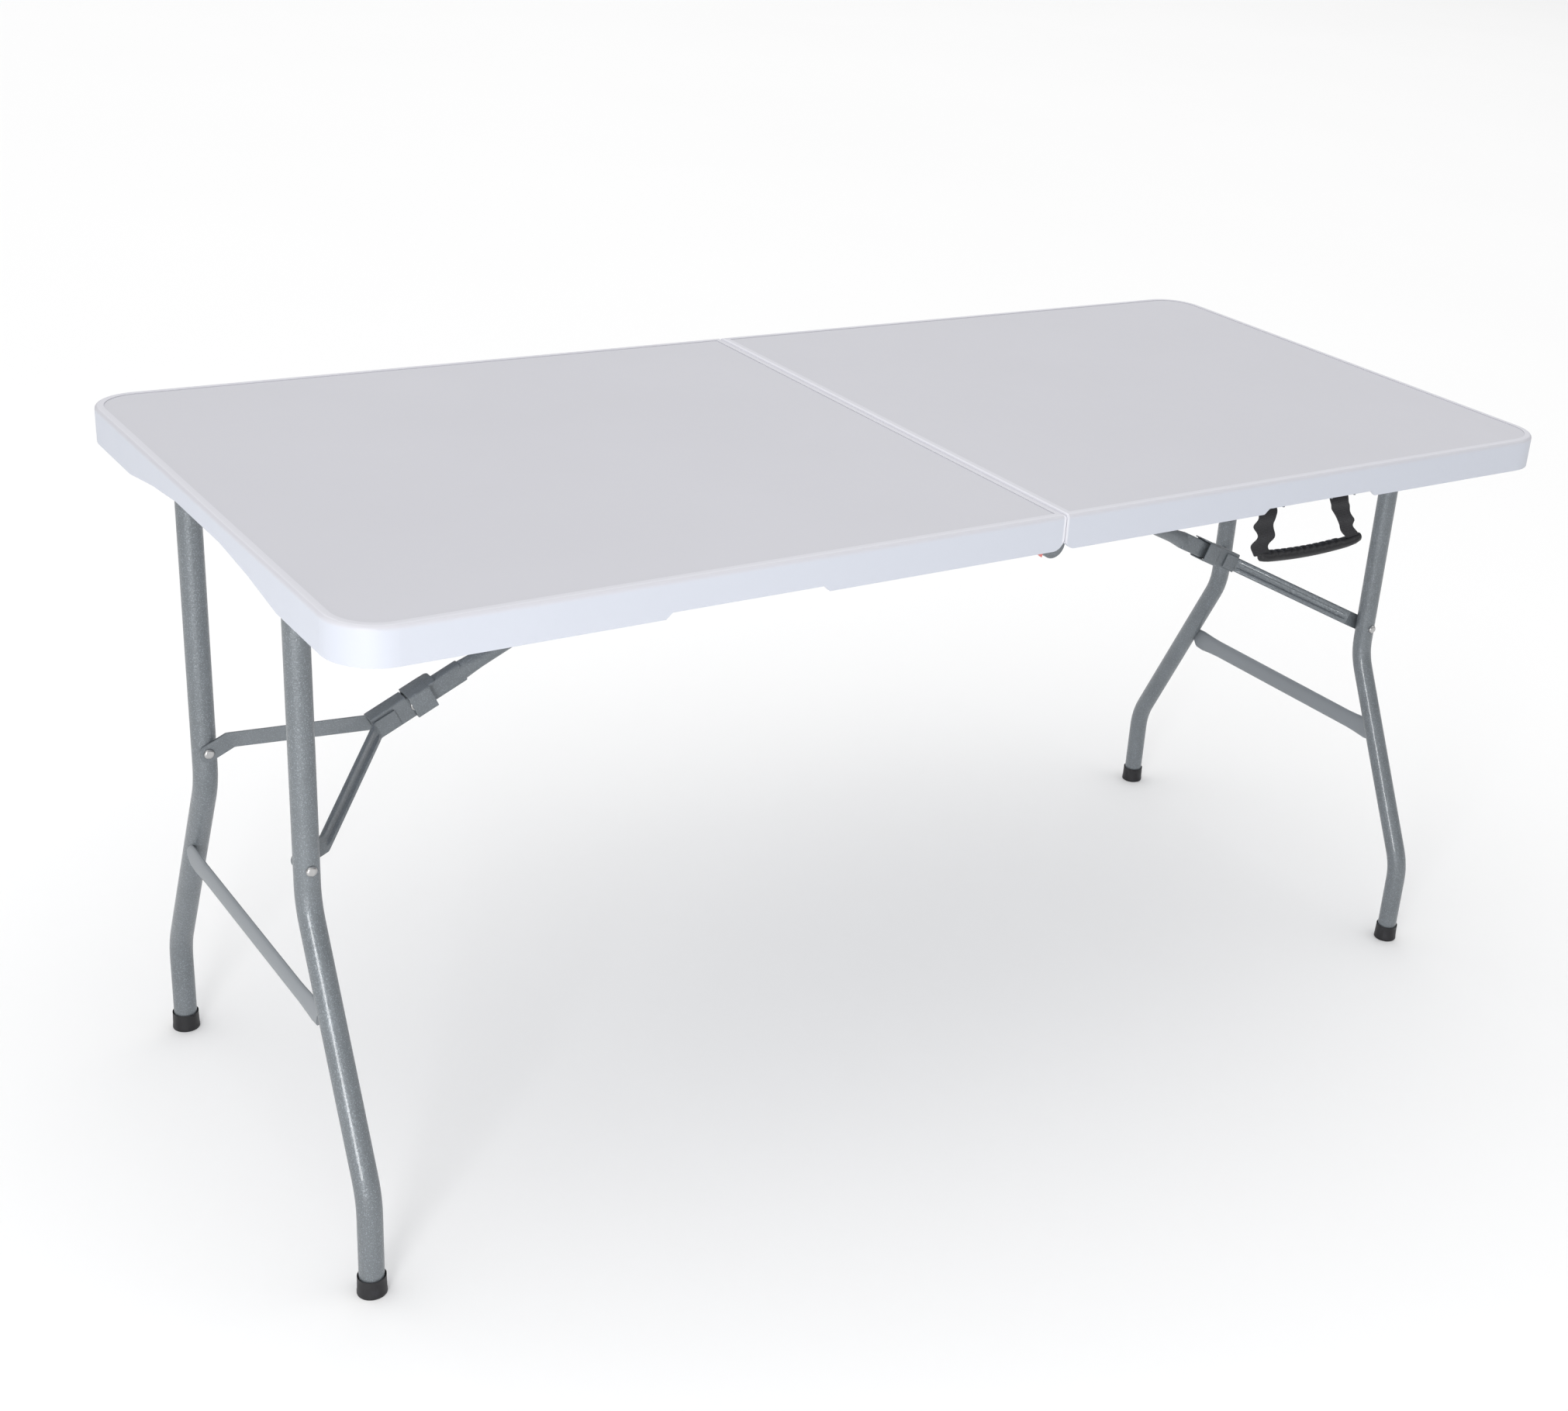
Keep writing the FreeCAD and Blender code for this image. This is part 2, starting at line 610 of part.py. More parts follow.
def leg_tube(name, radii):
    body = new_body(name)
    spine = leg_spine(body)
    profile = new_sketch(body, "profile", "XY", "pivot_height")
    for radius in radii:
        add_circle(profile, "leg_line", "upper_spread", radius)
    pipe = body.newObject("PartDesign::AdditivePipe", name + "_pipe")
    pipe.Profile = profile
    pipe.Spine = (spine, [])
    doc.recompute()
    return body


def make_legs():
    leg = leg_tube("right_leg_rear", ("tube_round", "tube_round - tube_wall"))
    cope = circle(leg, "cope", "XZ", "leg_line", "pivot_height", "tube_round")
    pocket(leg, cope, "half_width")
    rivet_hole = circle(leg, "rivet_hole", "XZ", "leg_line", "rivet_height", "rivet_dia / 2")
    pocket(leg, rivet_hole, "half_width")
    four_corners(leg, "leg")


def make_axles():
    shoulder, end = "rail_inner - axle_side_gap", "rail_outer + axle_side_gap + axle_nut_tall"
    outer, inner, pin = "tube_round", "tube_round - tube_wall", "axle_pin_dia / 2"
    bore, plug = "axle_pin_dia / 4", f"{shoulder} - tube_wall * 2"
    body = turned("right_leg_axle", "XY", [
        (bore, f"-({end})"), (pin, f"-({end})"), (pin, f"-({shoulder})"),
        (outer, f"-({shoulder})"), (outer, shoulder), (pin, shoulder), (pin, end), (bore, end),
        (bore, plug), (inner, plug), (inner, f"-({plug})"), (bore, f"-({plug})")])
    place(body, "leg_line", "0", "pivot_height")
    left_and_right(body, "leg_axle")
    start = "rail_outer + axle_side_gap"
    nut = turned("axle_nut", "XY", [
        (pin, start), ("axle_nut_dia / 2", start), ("axle_nut_dia / 2", f"{start} + 1"),
        (f"{pin} + 1.5", f"{start} + axle_nut_tall"), (pin, f"{start} + axle_nut_tall")])
    place(nut, "leg_line", "0", "pivot_height")
    nuts = group("right_axle_nuts", [nut, twin(nut, Vector(0, 1, 0))])
    left_and_right(nuts, "axle_nuts")


def make_foot_caps():
    cap = turned("right_foot_cap_rear", "XZ", [
        ("0", "0"), ("cap_round_out", "0"), ("cap_round_out", "cap_tall"),
        ("tube_round", "cap_tall"), ("tube_round", "cap_floor"), ("0", "cap_floor")])
    rim = value("2 * cap_round_out")
    soften(cap, "Fillet", "cap_round",
           lambda e: near(centre(e).z, 0) and near(e.BoundBox.XLength, rim))
    soften(cap, "Fillet", "cap_wall * 0.4",
           lambda e: near(centre(e).z, value("cap_tall")) and near(e.BoundBox.XLength, rim))
    place(cap, "leg_line", "foot_spread", "0")
    four_corners(cap, "foot_cap")


def make_crossbars():
    """Flat bar whose flared ends are shaped to the legs' round sides."""
    slope = "(foot_spread - upper_spread) / (upper_bend - lower_bend)"
    mid_high, mid_low = ("crossbar_middle + crossbar_tall / 2",
                         "crossbar_middle - crossbar_tall / 2")
    end_high, end_low = ("crossbar_middle + crossbar_end_tall / 2",
                         "crossbar_middle - crossbar_end_tall / 2")

    def leg_y(height):
        return f"(upper_spread + ({slope}) * (upper_bend - ({height})))"

    taper = f"({leg_y('crossbar_middle')} - crossbar_taper)"
    body = new_body("crossbar_blank")
    outline = polygon(body, "outline", "YZ", [
        (f"-{leg_y(end_low)}", end_low), (f"-{taper}", mid_low), (taper, mid_low),
        (leg_y(end_low), end_low), (leg_y(end_high), end_high), (taper, mid_high),
        (f"-{taper}", mid_high), (f"-{leg_y(end_high)}", end_high)],
        "leg_line + crossbar_offset")
    pad(body, outline, "crossbar_thick", both=True)
    face_gap = value("crossbar_thick / 2")
    middle_x = value("leg_line + crossbar_offset")
    soften(body, "Fillet", "crossbar_round",
           lambda e: near(abs(centre(e).x - middle_x), face_gap)
           and e.BoundBox.YLength > e.BoundBox.ZLength)
    envelope = leg_tube("leg_envelope", ("tube_round",))
    rear_cut = doc.addObject("Part::Cut", "crossbar_rear_cut")
    rear_cut.Base = body
    rear_cut.Tool = envelope
    bar = doc.addObject("Part::Cut", "right_crossbar")
    bar.Base = rear_cut
    bar.Tool = twin(envelope, Vector(0, 1, 0))
    left_and_right(bar, "crossbar")


def rivet_half(name, start, seat, head_end):
    """Shank from start to its head's seat, along Y; the head ends at head_end."""
    body = turned(name, "XY", [
        ("0", start), ("rivet_dia / 2", start), ("rivet_dia / 2", seat),
        ("rivet_head_dia / 2", seat), ("rivet_head_dia / 2", head_end), ("0", head_end)])
    end = value(head_end)
    soften(body, "Fillet", "rivet_head_tall * 0.85",
           lambda e: near(centre(e).y, end)
           and near(e.BoundBox.XLength, value("rivet_head_dia")))
    return place(body, "leg_line", "0", "rivet_height")


def make_rivets():
    leg_part = rivet_half("leg_rivet", "upper_spread - tube_round", "upper_spread + tube_round",
                          "upper_spread + tube_round + rivet_head_tall")
    arm_part = rivet_half("arm_rivet", "arm_tab_inner + arm_thick", "arm_tab_inner",
                          "arm_tab_inner - rivet_head_tall")
    for rivet, stem in ((leg_part, "leg_rivets"), (arm_part, "arm_rivets")):
        pair = group("right_" + stem, [rivet, twin(rivet, Vector(0, 1, 0))])
        left_and_right(pair, stem)


# ---- braces -----------------------------------------------------------------------------------

def make_brace_bars():
    """Round tube with a flat tongue at each end. Local origin at the elbow, top end at -X."""
    body = new_body("right_brace_bar")
    tube = new_sketch(body, "tube", "YZ", "bar_top + tongue_length")
    add_circle(tube, "0", "0", "bar_dia / 2")
    add_circle(tube, "0", "0", "bar_dia / 2 - bar_wall")
    pad(body, tube, "bar_length - 2 * tongue_length")
    tongues = (("low", "0", "-tongue_length - bar_wall * 4", "low_tongue_half"),
               ("top", "bar_top", "bar_top + tongue_length + bar_wall * 4", "bar_dia / 2"))
    for name, eye, root, half in tongues:
        flat = rectangle(body, name, "XZ", (eye, f"-{half}"), (root, half))
        pad(body, flat, "tongue_thick", both=True)
        nose = circle(body, name + "_nose", "XZ", eye, "0", half)
        pad(body, nose, "tongue_thick", both=True)
        bore = circle(body, name + "_bore", "XZ", eye, "0", "brace_pin_dia / 2 + running_gap")
        pocket(body, bore, "tongue_thick + 2", both=True)
    drain = circle(body, "drain_hole", "XY", "bar_top / 2", "0", "bar_wall")
    pocket(body, drain, "bar_dia")
    place_on_brace(body)
    left_and_right(body, "brace_bar")


def make_clevises():
    """Bent sheet that holds the two arms: a pair of round ears and a web over them."""
    body = new_body("right_clevis")
    ears = rectangle(body, "ears", "XZ", ("0", "-ear_half"), ("ear_reach", "ear_half"))
    pad(body, ears, "2 * ear_outer", both=True)
    nose = circle(body, "nose", "XZ", "0", "0", "ear_half")
    pad(body, nose, "2 * ear_outer", both=True)
    web = rectangle(body, "web", "XZ", ("web_start", "0"), ("ear_reach", "ear_half + web_thick"))
    pad(body, web, "2 * ear_outer", both=True)
    slot = rectangle(body, "slot", "XZ", ("-ear_half - 1", "-ear_half - 1"),
                     ("ear_reach + 1", "ear_half"))
    pocket(body, slot, "2 * ear_inner", both=True)
    bore = circle(body, "bore", "XZ", "0", "0", "brace_pin_dia / 2")
    pocket(body, bore, "2 * ear_outer + 2", both=True)
    top = value("ear_half + web_thick")
    side = value("ear_outer")
    soften(body, "Fillet", "web_thick * 0.8",
           lambda e: near(centre(e).z, top) and near(abs(centre(e).y), side))
    place_on_brace(body)
    left_and_right(body, "clevis")


def arm_outline(thick, gap="0", start="0"):
    """Bent strip in the brace's plane, seen along its height: an ear tab, a run, a leg tab."""
    inner, outer = "ear_outer", "arm_tab_inner"
    bend, tab = "ear_reach", "arm_length - arm_tab"
    far = "arm_length + arm_tall / 2"
    shift = f"({gap} + {thick}) * arm_miter"
    return [("arm_start", inner), (bend, inner), (tab, outer), (far, outer),
            (far, f"{outer} + {thick}"), (f"{tab} - {shift}", f"{outer} + {thick}"),
            (f"{bend} - {shift}", f"{inner} + {thick}"), ("arm_start", f"{inner} + {thick}")]


def make_arms():
    body = new_body("right_arm_rear")
    strip = polygon(body, "strip", "XY", arm_outline("arm_thick"))
    pad(body, strip, "arm_tall", both=True)
    length = "(arm_length - arm_tab - ear_reach)"
    rise = "(arm_tab_inner - ear_outer)"

    def along(share, off):
        x = f"ear_reach + {share} * {length} - ({off}) * sin(arm_spread)"
        y = f"ear_outer + {share} * {rise} + ({off}) * cos(arm_spread)"
        return x, y

    near_end, far_end = "bead_setback", "(1 - bead_setback)"
    bead = polygon(body, "bead", "XY", [
        along(near_end, "arm_thick / 2"), along(far_end, "arm_thick / 2"),
        along(far_end, "arm_thick + bead_thick"), along(near_end, "arm_thick + bead_thick")])
    pad(body, bead, "bead_tall", both=True)
    rivet_hole = circle(body, "rivet_hole", "XZ", "arm_length", "0", "rivet_dia / 2")
    pocket(body, rivet_hole, "half_width")
    half = value("arm_tall / 2")
    far = value("arm_length + arm_tall / 2")
    soften(body, "Fillet", "arm_tall / 2 - 0.5",
           lambda e: near(abs(centre(e).z), half) and near(centre(e).x, far))
    place_on_brace(body)
    four_corners(body, "arm")


def make_brace_pins():
    for stem, x, z in (("elbow_pin", "elbow_x", "elbow_z"),
                       ("anchor_pin", "anchor_place", "anchor_height")):
        pin = pin_with_heads("right_" + stem, "ear_outer", "brace_pin_dia / 2",
                             "brace_head_dia / 2", "brace_head_tall")
        place(pin, x, "0", z)
        left_and_right(pin, stem)


def make_lock_rings():
    """Square sleeve round the elbow, with a thumb tab along its top."""
    body = new_body("right_lock_ring")
    outer = rectangle(body, "outer", "YZ", ("-ring_side_outer", "-ring_outer"),
                      ("ring_side_outer", "ring_outer"), "-ring_before")
    pad(body, outer, "ring_before + ring_after")
    long_edges = value("ring_before + ring_after")
    soften(body, "Fillet", "ring_wall + 1",
           lambda e: near(e.BoundBox.XLength, long_edges))
    tab = rectangle(body, "tab", "XZ", ("-ring_before - ring_tab", "ring_inner"),
                    ("-ring_before", "ring_outer"))
    pad(body, tab, "ring_side", both=True)
    inner = rectangle(body, "inner", "YZ", ("-ring_side", "-ring_inner"),
                      ("ring_side", "ring_inner"), "-ring_before")
    pocket(body, inner, "ring_before + ring_after", back=True)
    place_on_brace(body)
    left_and_right(body, "lock_ring")


def make_anchors():
    """Bracket under the panel that holds the bar's top end."""
    body = new_body("right_brace_anchor")
    back, front = "anchor_place - anchor_back", "anchor_place + anchor_front"
    low = "anchor_height - ear_half"
    block = rectangle(body, "block", "XZ", (back, low), (front, "underside"))
    pad(body, block, "2 * ear_outer", both=True)
    flange = rectangle(body, "flange", "XY", (back, "-ear_outer - anchor_flange"),
                       (front, "ear_outer + anchor_flange"), "underside - ear_thick")
    pad(body, flange, "ear_thick")
    slot = rectangle(body, "slot", "XZ", (f"{back} + ear_thick", f"{low} - 1"),
                     (f"{front} + 1", "underside + 1"))
    pocket(body, slot, "2 * ear_inner", both=True)
    bore = circle(body, "bore", "XZ", "anchor_place", "anchor_height", "brace_pin_dia / 2")
    pocket(body, bore, "2 * ear_outer + 2", both=True)
    screw_holes = new_sketch(body, "screw_holes", "XY", "underside")
    for side in ("1", "-1"):
        add_circle(screw_holes, "anchor_place", f"{side} * anchor_screw_y", "screw_dia / 2")
    pocket(body, screw_holes, "ear_thick + 1")
    corner_x = value(front)
    corner_z = value(low)
    soften(body, "Fillet", "ear_half * 0.8",
           lambda e: near(centre(e).x, corner_x) and near(centre(e).z, corner_z))
    left_and_right(body, "brace_anchor")


# ---- carrying handle --------------------------------------------------------------------------

def make_handle_hangers():
    brackets, pins = [], []
    for side in ("left", "right"):
        middle = f"handle_{side}"
        body = new_body(f"hanger_{side}")
        block = rectangle(body, "block", "YZ",
                          ("-handle_y - loop_dia / 2 - 1", "handle_z - loop_dia / 2"),
                          ("-rail_outer", "handle_z + loop_dia / 2 + 8"), middle)
        pad(body, block, "strap_width + 2 * (hanger_gap + hanger_thick)", both=True)
        slot = rectangle(body, "slot", "YZ",
                         ("-handle_y - loop_dia / 2 - 2", "handle_z - loop_dia / 2 - 1"),
                         ("-rail_outer - hanger_thick", "handle_z + loop_dia / 2 + 9"), middle)
        pocket(body, slot, "strap_width + 2 * hanger_gap", both=True)
        bore = circle(body, "bore", "YZ", "-handle_y", "handle_z", "handle_pin_dia / 2", middle)
        pocket(body, bore, "strap_width + 2 * (hanger_gap + hanger_thick) + 2", both=True)
        brackets.append(body)
        pin = new_body(f"handle_pin_{side}")
        shaft = circle(pin, "shaft", "YZ", "-handle_y", "handle_z", "handle_pin_dia / 2", middle)
        pad(pin, shaft, "strap_width + 2 * (hanger_gap + hanger_thick)", both=True)
        pins.append(pin)
    finish(group("handle_hangers", brackets))
    finish(group("handle_pins", pins))


def strap_tail(side, low_left, low_right):
    """Webbing tail looped round its pin; it hangs to the grip between two low corners."""
    middle = f"handle_{side}"
    body = new_body(f"handle_strap_{side}")
    loop = circle(body, "loop", "YZ", "-handle_y", "handle_z", "loop_dia / 2", middle)
    pad(body, loop, "strap_width", both=True)
    tail = polygon(body, "tail", "XZ", [
        (low_left, "strap_low"), (low_right, "strap_low"),
        (f"{middle} + strap_width / 2", "handle_z - loop_dia"),
        (f"{middle} + strap_width / 2", "handle_z"),
        (f"{middle} - strap_width / 2", "handle_z"),
        (f"{middle} - strap_width / 2", "handle_z - loop_dia")], "handle_y")
    pad(body, tail, "strap_thick", both=True)
    bore = circle(body, "bore", "YZ", "-handle_y", "handle_z",
                  "handle_pin_dia / 2 + running_gap", middle)
    pocket(body, bore, "strap_width + 2", both=True)
    finish(body)


def make_handle():
    strap_tail("left", "handle_left - 9", "handle_left + 16")
    strap_tail("right", "handle_right_low - 12", "handle_right_low + 10")
    left = "handle_left - 2"
    right = "handle_right_low + grip_end"
    middle = f"({left} + {right}) / 2"
    body = new_body("handle_grip")
    outline = polygon(body, "outline", "XZ", [
        (left, "strap_low"), (left, "strap_low - grip_tall + grip_sag"),
        (f"{left} + 2 * grip_end", "grip_low + grip_sag / 3"),
        (middle, "grip_low"), (f"{right} - 2 * grip_end", "grip_low + grip_sag / 3"),
        (right, "strap_low - grip_tall + grip_sag"), (right, "strap_low"),
        (f"{right} - 2 * grip_end - 4", "strap_low"),
        (middle, "grip_low + grip_tall * 0.75"),
        (f"{left} + 2 * grip_end", "strap_low")], "handle_y")
    pad(body, outline, "grip_thick", both=True)
    finish(body)


# ---- safety catch -----------------------------------------------------------------------------

def make_catch():
    body = new_body("safety_catch")
    lever = polygon(body, "lever", "XZ", [
        ("catch_x - 9", "catch_z + 7"), ("catch_x + 8", "catch_z + 7"),
        ("catch_x + 10", "catch_z - 6"), ("catch_x + 18", "catch_z - 12"),
        ("catch_x + 16", "catch_z - 20"), ("catch_x + 4", "catch_z - 11"),
        ("catch_x - 9", "catch_z - 6")], "catch_near")
    pad(body, lever, "catch_thick")
    bore = circle(body, "bore", "XZ", "catch_x", "catch_z", "catch_pin_dia / 2 + running_gap",
                  "catch_near")
    pocket(body, bore, "catch_thick", back=True)
    finish(body)
    seat = "-(rail_outer + cheek_thick)"
    head = "-(catch_near + catch_thick + 0.3)"
    pin = turned("catch_pin", "XY", [
        ("0", seat), ("catch_pin_dia / 2", seat), ("catch_pin_dia / 2", head),
        ("catch_pin_dia", head), ("catch_pin_dia", f"{head} - 1.6"), ("0", f"{head} - 1.6")])
    place(pin, "catch_x", "0", "catch_z")
    finish(pin)


# ---- the whole table --------------------------------------------------------------------------

def check_and_export():
    doc.recompute()
    faulty = [o.Label for o in doc.Objects if {"Invalid", "Error"} & set(o.State)]
    empty = [o.Label for o in finished if o.Shape.isNull() or not o.Shape.isValid()]
    if faulty or empty:
        raise RuntimeError(f"failed features {faulty}, failed shapes {empty}")
    os.makedirs("parts", exist_ok=True)
    for obj in finished:
        obj.Shape.exportStep(f"parts/{obj.Label}.step")


def main():
    fill_sheets()
    make_panels()
    make_rails()
    make_screws()
    make_hinges()
    make_hinge_pins()
    make_legs()
    make_axles()
    make_foot_caps()
    make_crossbars()
    make_rivets()
    make_brace_bars()
    make_clevises()
    make_arms()
    make_brace_pins()
    make_lock_rings()
    make_anchors()
    make_handle_hangers()
    make_handle()
    make_catch()
    check_and_export()


main()
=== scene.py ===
import json
import math

import bmesh
import bpy
from bpy.props import FloatProperty, FloatVectorProperty, IntProperty, PointerProperty
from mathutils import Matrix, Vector


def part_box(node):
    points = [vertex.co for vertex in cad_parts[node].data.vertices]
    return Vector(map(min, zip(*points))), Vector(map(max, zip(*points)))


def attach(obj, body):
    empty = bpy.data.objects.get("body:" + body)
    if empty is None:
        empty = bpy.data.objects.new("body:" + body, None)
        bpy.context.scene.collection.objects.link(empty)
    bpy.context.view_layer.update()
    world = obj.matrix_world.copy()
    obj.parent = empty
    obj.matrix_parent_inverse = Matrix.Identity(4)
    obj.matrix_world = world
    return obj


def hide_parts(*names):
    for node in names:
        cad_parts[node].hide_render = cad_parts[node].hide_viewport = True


bl_info = {
    "name": "Folding Table",
    "version": (1, 0, 0),
    "blender": (4, 5, 0),
    "location": "3D View > Sidebar > Folding Table",
    "description": "Dresses a folding table's frame in its finishes and detailed pieces",
    "category": "Object",
}

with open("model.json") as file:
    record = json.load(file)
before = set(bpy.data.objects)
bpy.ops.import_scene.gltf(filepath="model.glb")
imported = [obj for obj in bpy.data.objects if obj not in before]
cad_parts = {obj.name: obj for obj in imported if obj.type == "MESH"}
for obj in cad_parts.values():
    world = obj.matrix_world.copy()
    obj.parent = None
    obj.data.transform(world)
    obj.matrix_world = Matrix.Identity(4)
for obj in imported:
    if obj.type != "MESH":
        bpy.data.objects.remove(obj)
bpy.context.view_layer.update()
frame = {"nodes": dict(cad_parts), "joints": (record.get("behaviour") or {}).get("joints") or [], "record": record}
JOINTS = {joint["name"]: joint for joint in frame["joints"]}

SIDES = ("left", "right")
ENDS = ("front", "rear")

BAR_ROUND = 0.018          # a brace bar's round part
BAR_FLAT = 0.012           # thickness of its flattened tongues
LOW_TONGUE_TALL = 0.022    # height of the tongue at the elbow
ARM_TALL = 0.019
ARM_THICK = 0.0025
NEAR = 1e-5                # for picking edges by their place


# ---- settings ---------------------------------------------------------------------------------

def colour(name, description, default):
    return FloatVectorProperty(name=name, description=description, subtype="COLOR", size=3,
                               min=0, max=1, default=default)


class TableFinishes(bpy.types.PropertyGroup):
    panel: colour("Panel", "Moulded table top", (0.555, 0.555, 0.595))
    leg: colour("Legs", "Powder coat on the leg frames", (0.150, 0.167, 0.181))
    brace: colour("Braces", "Powder coat on the braces and rails", (0.150, 0.167, 0.181))
    steel: colour("Bright steel", "Rivets, pins, nuts and screws", (0.50, 0.50, 0.50))
    black: colour("Black plastic", "Foot caps and carrying grip", (0.008, 0.008, 0.010))
    webbing: colour("Webbing", "Woven handle tails", (0.020, 0.020, 0.023))
    catch: colour("Safety catch", "Red moulded catch", (0.62, 0.10, 0.09))


class TableSizes(bpy.types.PropertyGroup):
    cap_sides: IntProperty(name="Cap sides", description="Faces round a foot cap",
                           default=48, min=12)
    cap_flare: FloatProperty(name="Cap flare", description="How far the cap's foot stands out",
                             default=0.0003, unit="LENGTH")
    webbing_thick: FloatProperty(name="Webbing thickness", description="Woven strap",
                                 default=0.0019, unit="LENGTH")
    webbing_ripple: FloatProperty(name="Webbing ripple", default=0.0022, unit="LENGTH",
                                  description="How far the tails swing out of their plane")
    grip_ribs: IntProperty(name="Grip ribs", description="Finger ribs along the grip",
                           default=11, min=2)
    rib_tall: FloatProperty(name="Rib height", description="How far a rib stands up",
                            default=0.0014, unit="LENGTH")
    ridge_tall: FloatProperty(name="Arm ridge", description="Pressed ridge along an arm",
                              default=0.0016, unit="LENGTH")


# ---- materials --------------------------------------------------------------------------------

class Field:
    """A number that varies over a surface, so that a pattern reads as arithmetic."""

    def __init__(self, tree, socket):
        self.tree, self.socket = tree, socket

    def _maths(self, operation, first, second):
        node = self.tree.nodes.new("ShaderNodeMath")
        node.operation = operation
        for slot, item in zip(node.inputs, (first, second)):
            if isinstance(item, Field):
                self.tree.links.new(item.socket, slot)
            else:
                slot.default_value = item
        return Field(self.tree, node.outputs[0])

    def __add__(self, other):
        return self._maths("ADD", self, other)

    def __rsub__(self, other):
        return self._maths("SUBTRACT", other, self)

    def __mul__(self, other):
        return self._maths("MULTIPLY", self, other)

    def __pow__(self, other):
        return self._maths("POWER", self, other)

    def over(self, level, softness):
        """0 under the level and 1 above it, with a soft step between."""
        node = self.tree.nodes.new("ShaderNodeMapRange")
        node.interpolation_type = "SMOOTHSTEP"
        node.inputs["From Min"].default_value = level - softness
        node.inputs["From Max"].default_value = level + softness
        self.tree.links.new(self.socket, node.inputs["Value"])
        return Field(self.tree, node.outputs["Result"])


class Finish:
    """A material, its surface coordinates and its one shader."""

    def __init__(self, name, metallic=0.0, roughness=0.5, coat=0.0):
        self.material = bpy.data.materials.new(name)
        self.material.use_nodes = True
        self.tree = self.material.node_tree
        self.shader = self.tree.nodes["Principled BSDF"]
        self.shader.inputs["Metallic"].default_value = metallic
        self.shader.inputs["Roughness"].default_value = roughness
        self.shader.inputs["Coat Weight"].default_value = coat
        self.place = self.tree.nodes.new("ShaderNodeTexCoord").outputs["Object"]

    def stretched(self, stretch, turn=(0, 0, 0)):
        node = self.tree.nodes.new("ShaderNodeMapping")
        node.inputs["Scale"].default_value = stretch
        node.inputs["Rotation"].default_value = turn
        self.tree.links.new(self.place, node.inputs["Vector"])
        return node.outputs["Vector"]

    def noise(self, scale, detail, stretch=(1, 1, 1)):
        node = self.tree.nodes.new("ShaderNodeTexNoise")
        node.inputs["Scale"].default_value = scale
        node.inputs["Detail"].default_value = detail
        self.tree.links.new(self.stretched(stretch), node.inputs["Vector"])
        return Field(self.tree, node.outputs["Fac"])

    def cells(self, scale):
        node = self.tree.nodes.new("ShaderNodeTexVoronoi")
        node.feature = "SMOOTH_F1"
        node.inputs["Scale"].default_value = scale
        self.tree.links.new(self.place, node.inputs["Vector"])
        return Field(self.tree, node.outputs["Distance"])

    def yarns(self, pitch, direction, turn=(0, 0, 0)):
        """Ridges at the given pitch across one axis."""
        node = self.tree.nodes.new("ShaderNodeTexWave")
        node.bands_direction = direction
        node.inputs["Scale"].default_value = math.pi / 10 / pitch
        self.tree.links.new(self.stretched((1, 1, 1), turn), node.inputs["Vector"])
        return Field(self.tree, node.outputs["Fac"])

    def along(self, axis):
        """Distance from the origin along one axis."""
        node = self.tree.nodes.new("ShaderNodeSeparateXYZ")
        self.tree.links.new(self.place, node.inputs[0])
        return Field(self.tree, node.outputs[axis])

    def tint(self, amount, low, high):
        node = self.tree.nodes.new("ShaderNodeMix")
        node.data_type = "RGBA"
        self.tree.links.new(amount.socket, node.inputs["Factor"])
        for slot, item in zip(("A", "B"), (low, high)):
            inputs = [i for i in node.inputs if i.name == slot and i.type == "RGBA"]
            if hasattr(item, "is_output"):
                self.tree.links.new(item, inputs[0])
            else:
                inputs[0].default_value = (*item, 1)
        return next(o for o in node.outputs if o.type == "RGBA")

    def paint(self, socket):
        self.tree.links.new(socket, self.shader.inputs["Base Color"])

    def set(self, name, field):
        self.tree.links.new(field.socket, self.shader.inputs[name])

    def relief(self, field, depth, strength):
        node = self.tree.nodes.new("ShaderNodeBump")
        node.inputs["Strength"].default_value = strength
        node.inputs["Distance"].default_value = depth
        self.tree.links.new(field.socket, node.inputs["Height"])
        self.tree.links.new(node.outputs["Normal"], self.shader.inputs["Normal"])


def shade(base, factor):
    return tuple(min(1.0, channel * factor) for channel in base)


def panel_plastic(base):
    """Blow-moulded polyethylene: faint cloudiness, a fine grain, a painted highlight on the raised border and
    along the middle join, and painted light on the sides.
    """
    finish = Finish("panel_plastic")
    skirt_top, rim_level, seam_half = 0.7365, 0.73965, 0.0034
    cloud = finish.noise(5, 3)
    top = finish.tint(cloud, shade(base, 0.975), shade(base, 1.02))
    # Painted light: below the top, the skirt is painted bluer and slightly brighter than the top, standing in for
    # how light falls on the sides.
    painted_skirt_light = (base[0] * 0.985, base[1] * 1.03, base[2] * 1.07)
    body = finish.tint(finish.along("Z").over(skirt_top, 0.0025), painted_skirt_light, top)
    # Painted highlight: the raised border above this level is painted brighter, standing in for light catching its
    # rounded edge.
    rim_highlight = finish.along("Z").over(rim_level, 0.0002)
    # Painted highlight: a narrow band either side of the middle join is painted brighter, standing in for light on
    # its rounded edges.
    seam_highlight = 1 - (finish.along("X") ** 2.0).over(seam_half ** 2, 0.000006)
    finish.paint(finish.tint(rim_highlight * 0.4 + seam_highlight * 0.9, body, shade(base, 1.30)))
    finish.set("Roughness", finish.noise(40, 3) * 0.12 + 0.40)
    grain = finish.cells(520) * 0.6 + finish.noise(1500, 2) * 0.5
    finish.relief(grain, 0.00022, 0.32)
    return finish.material


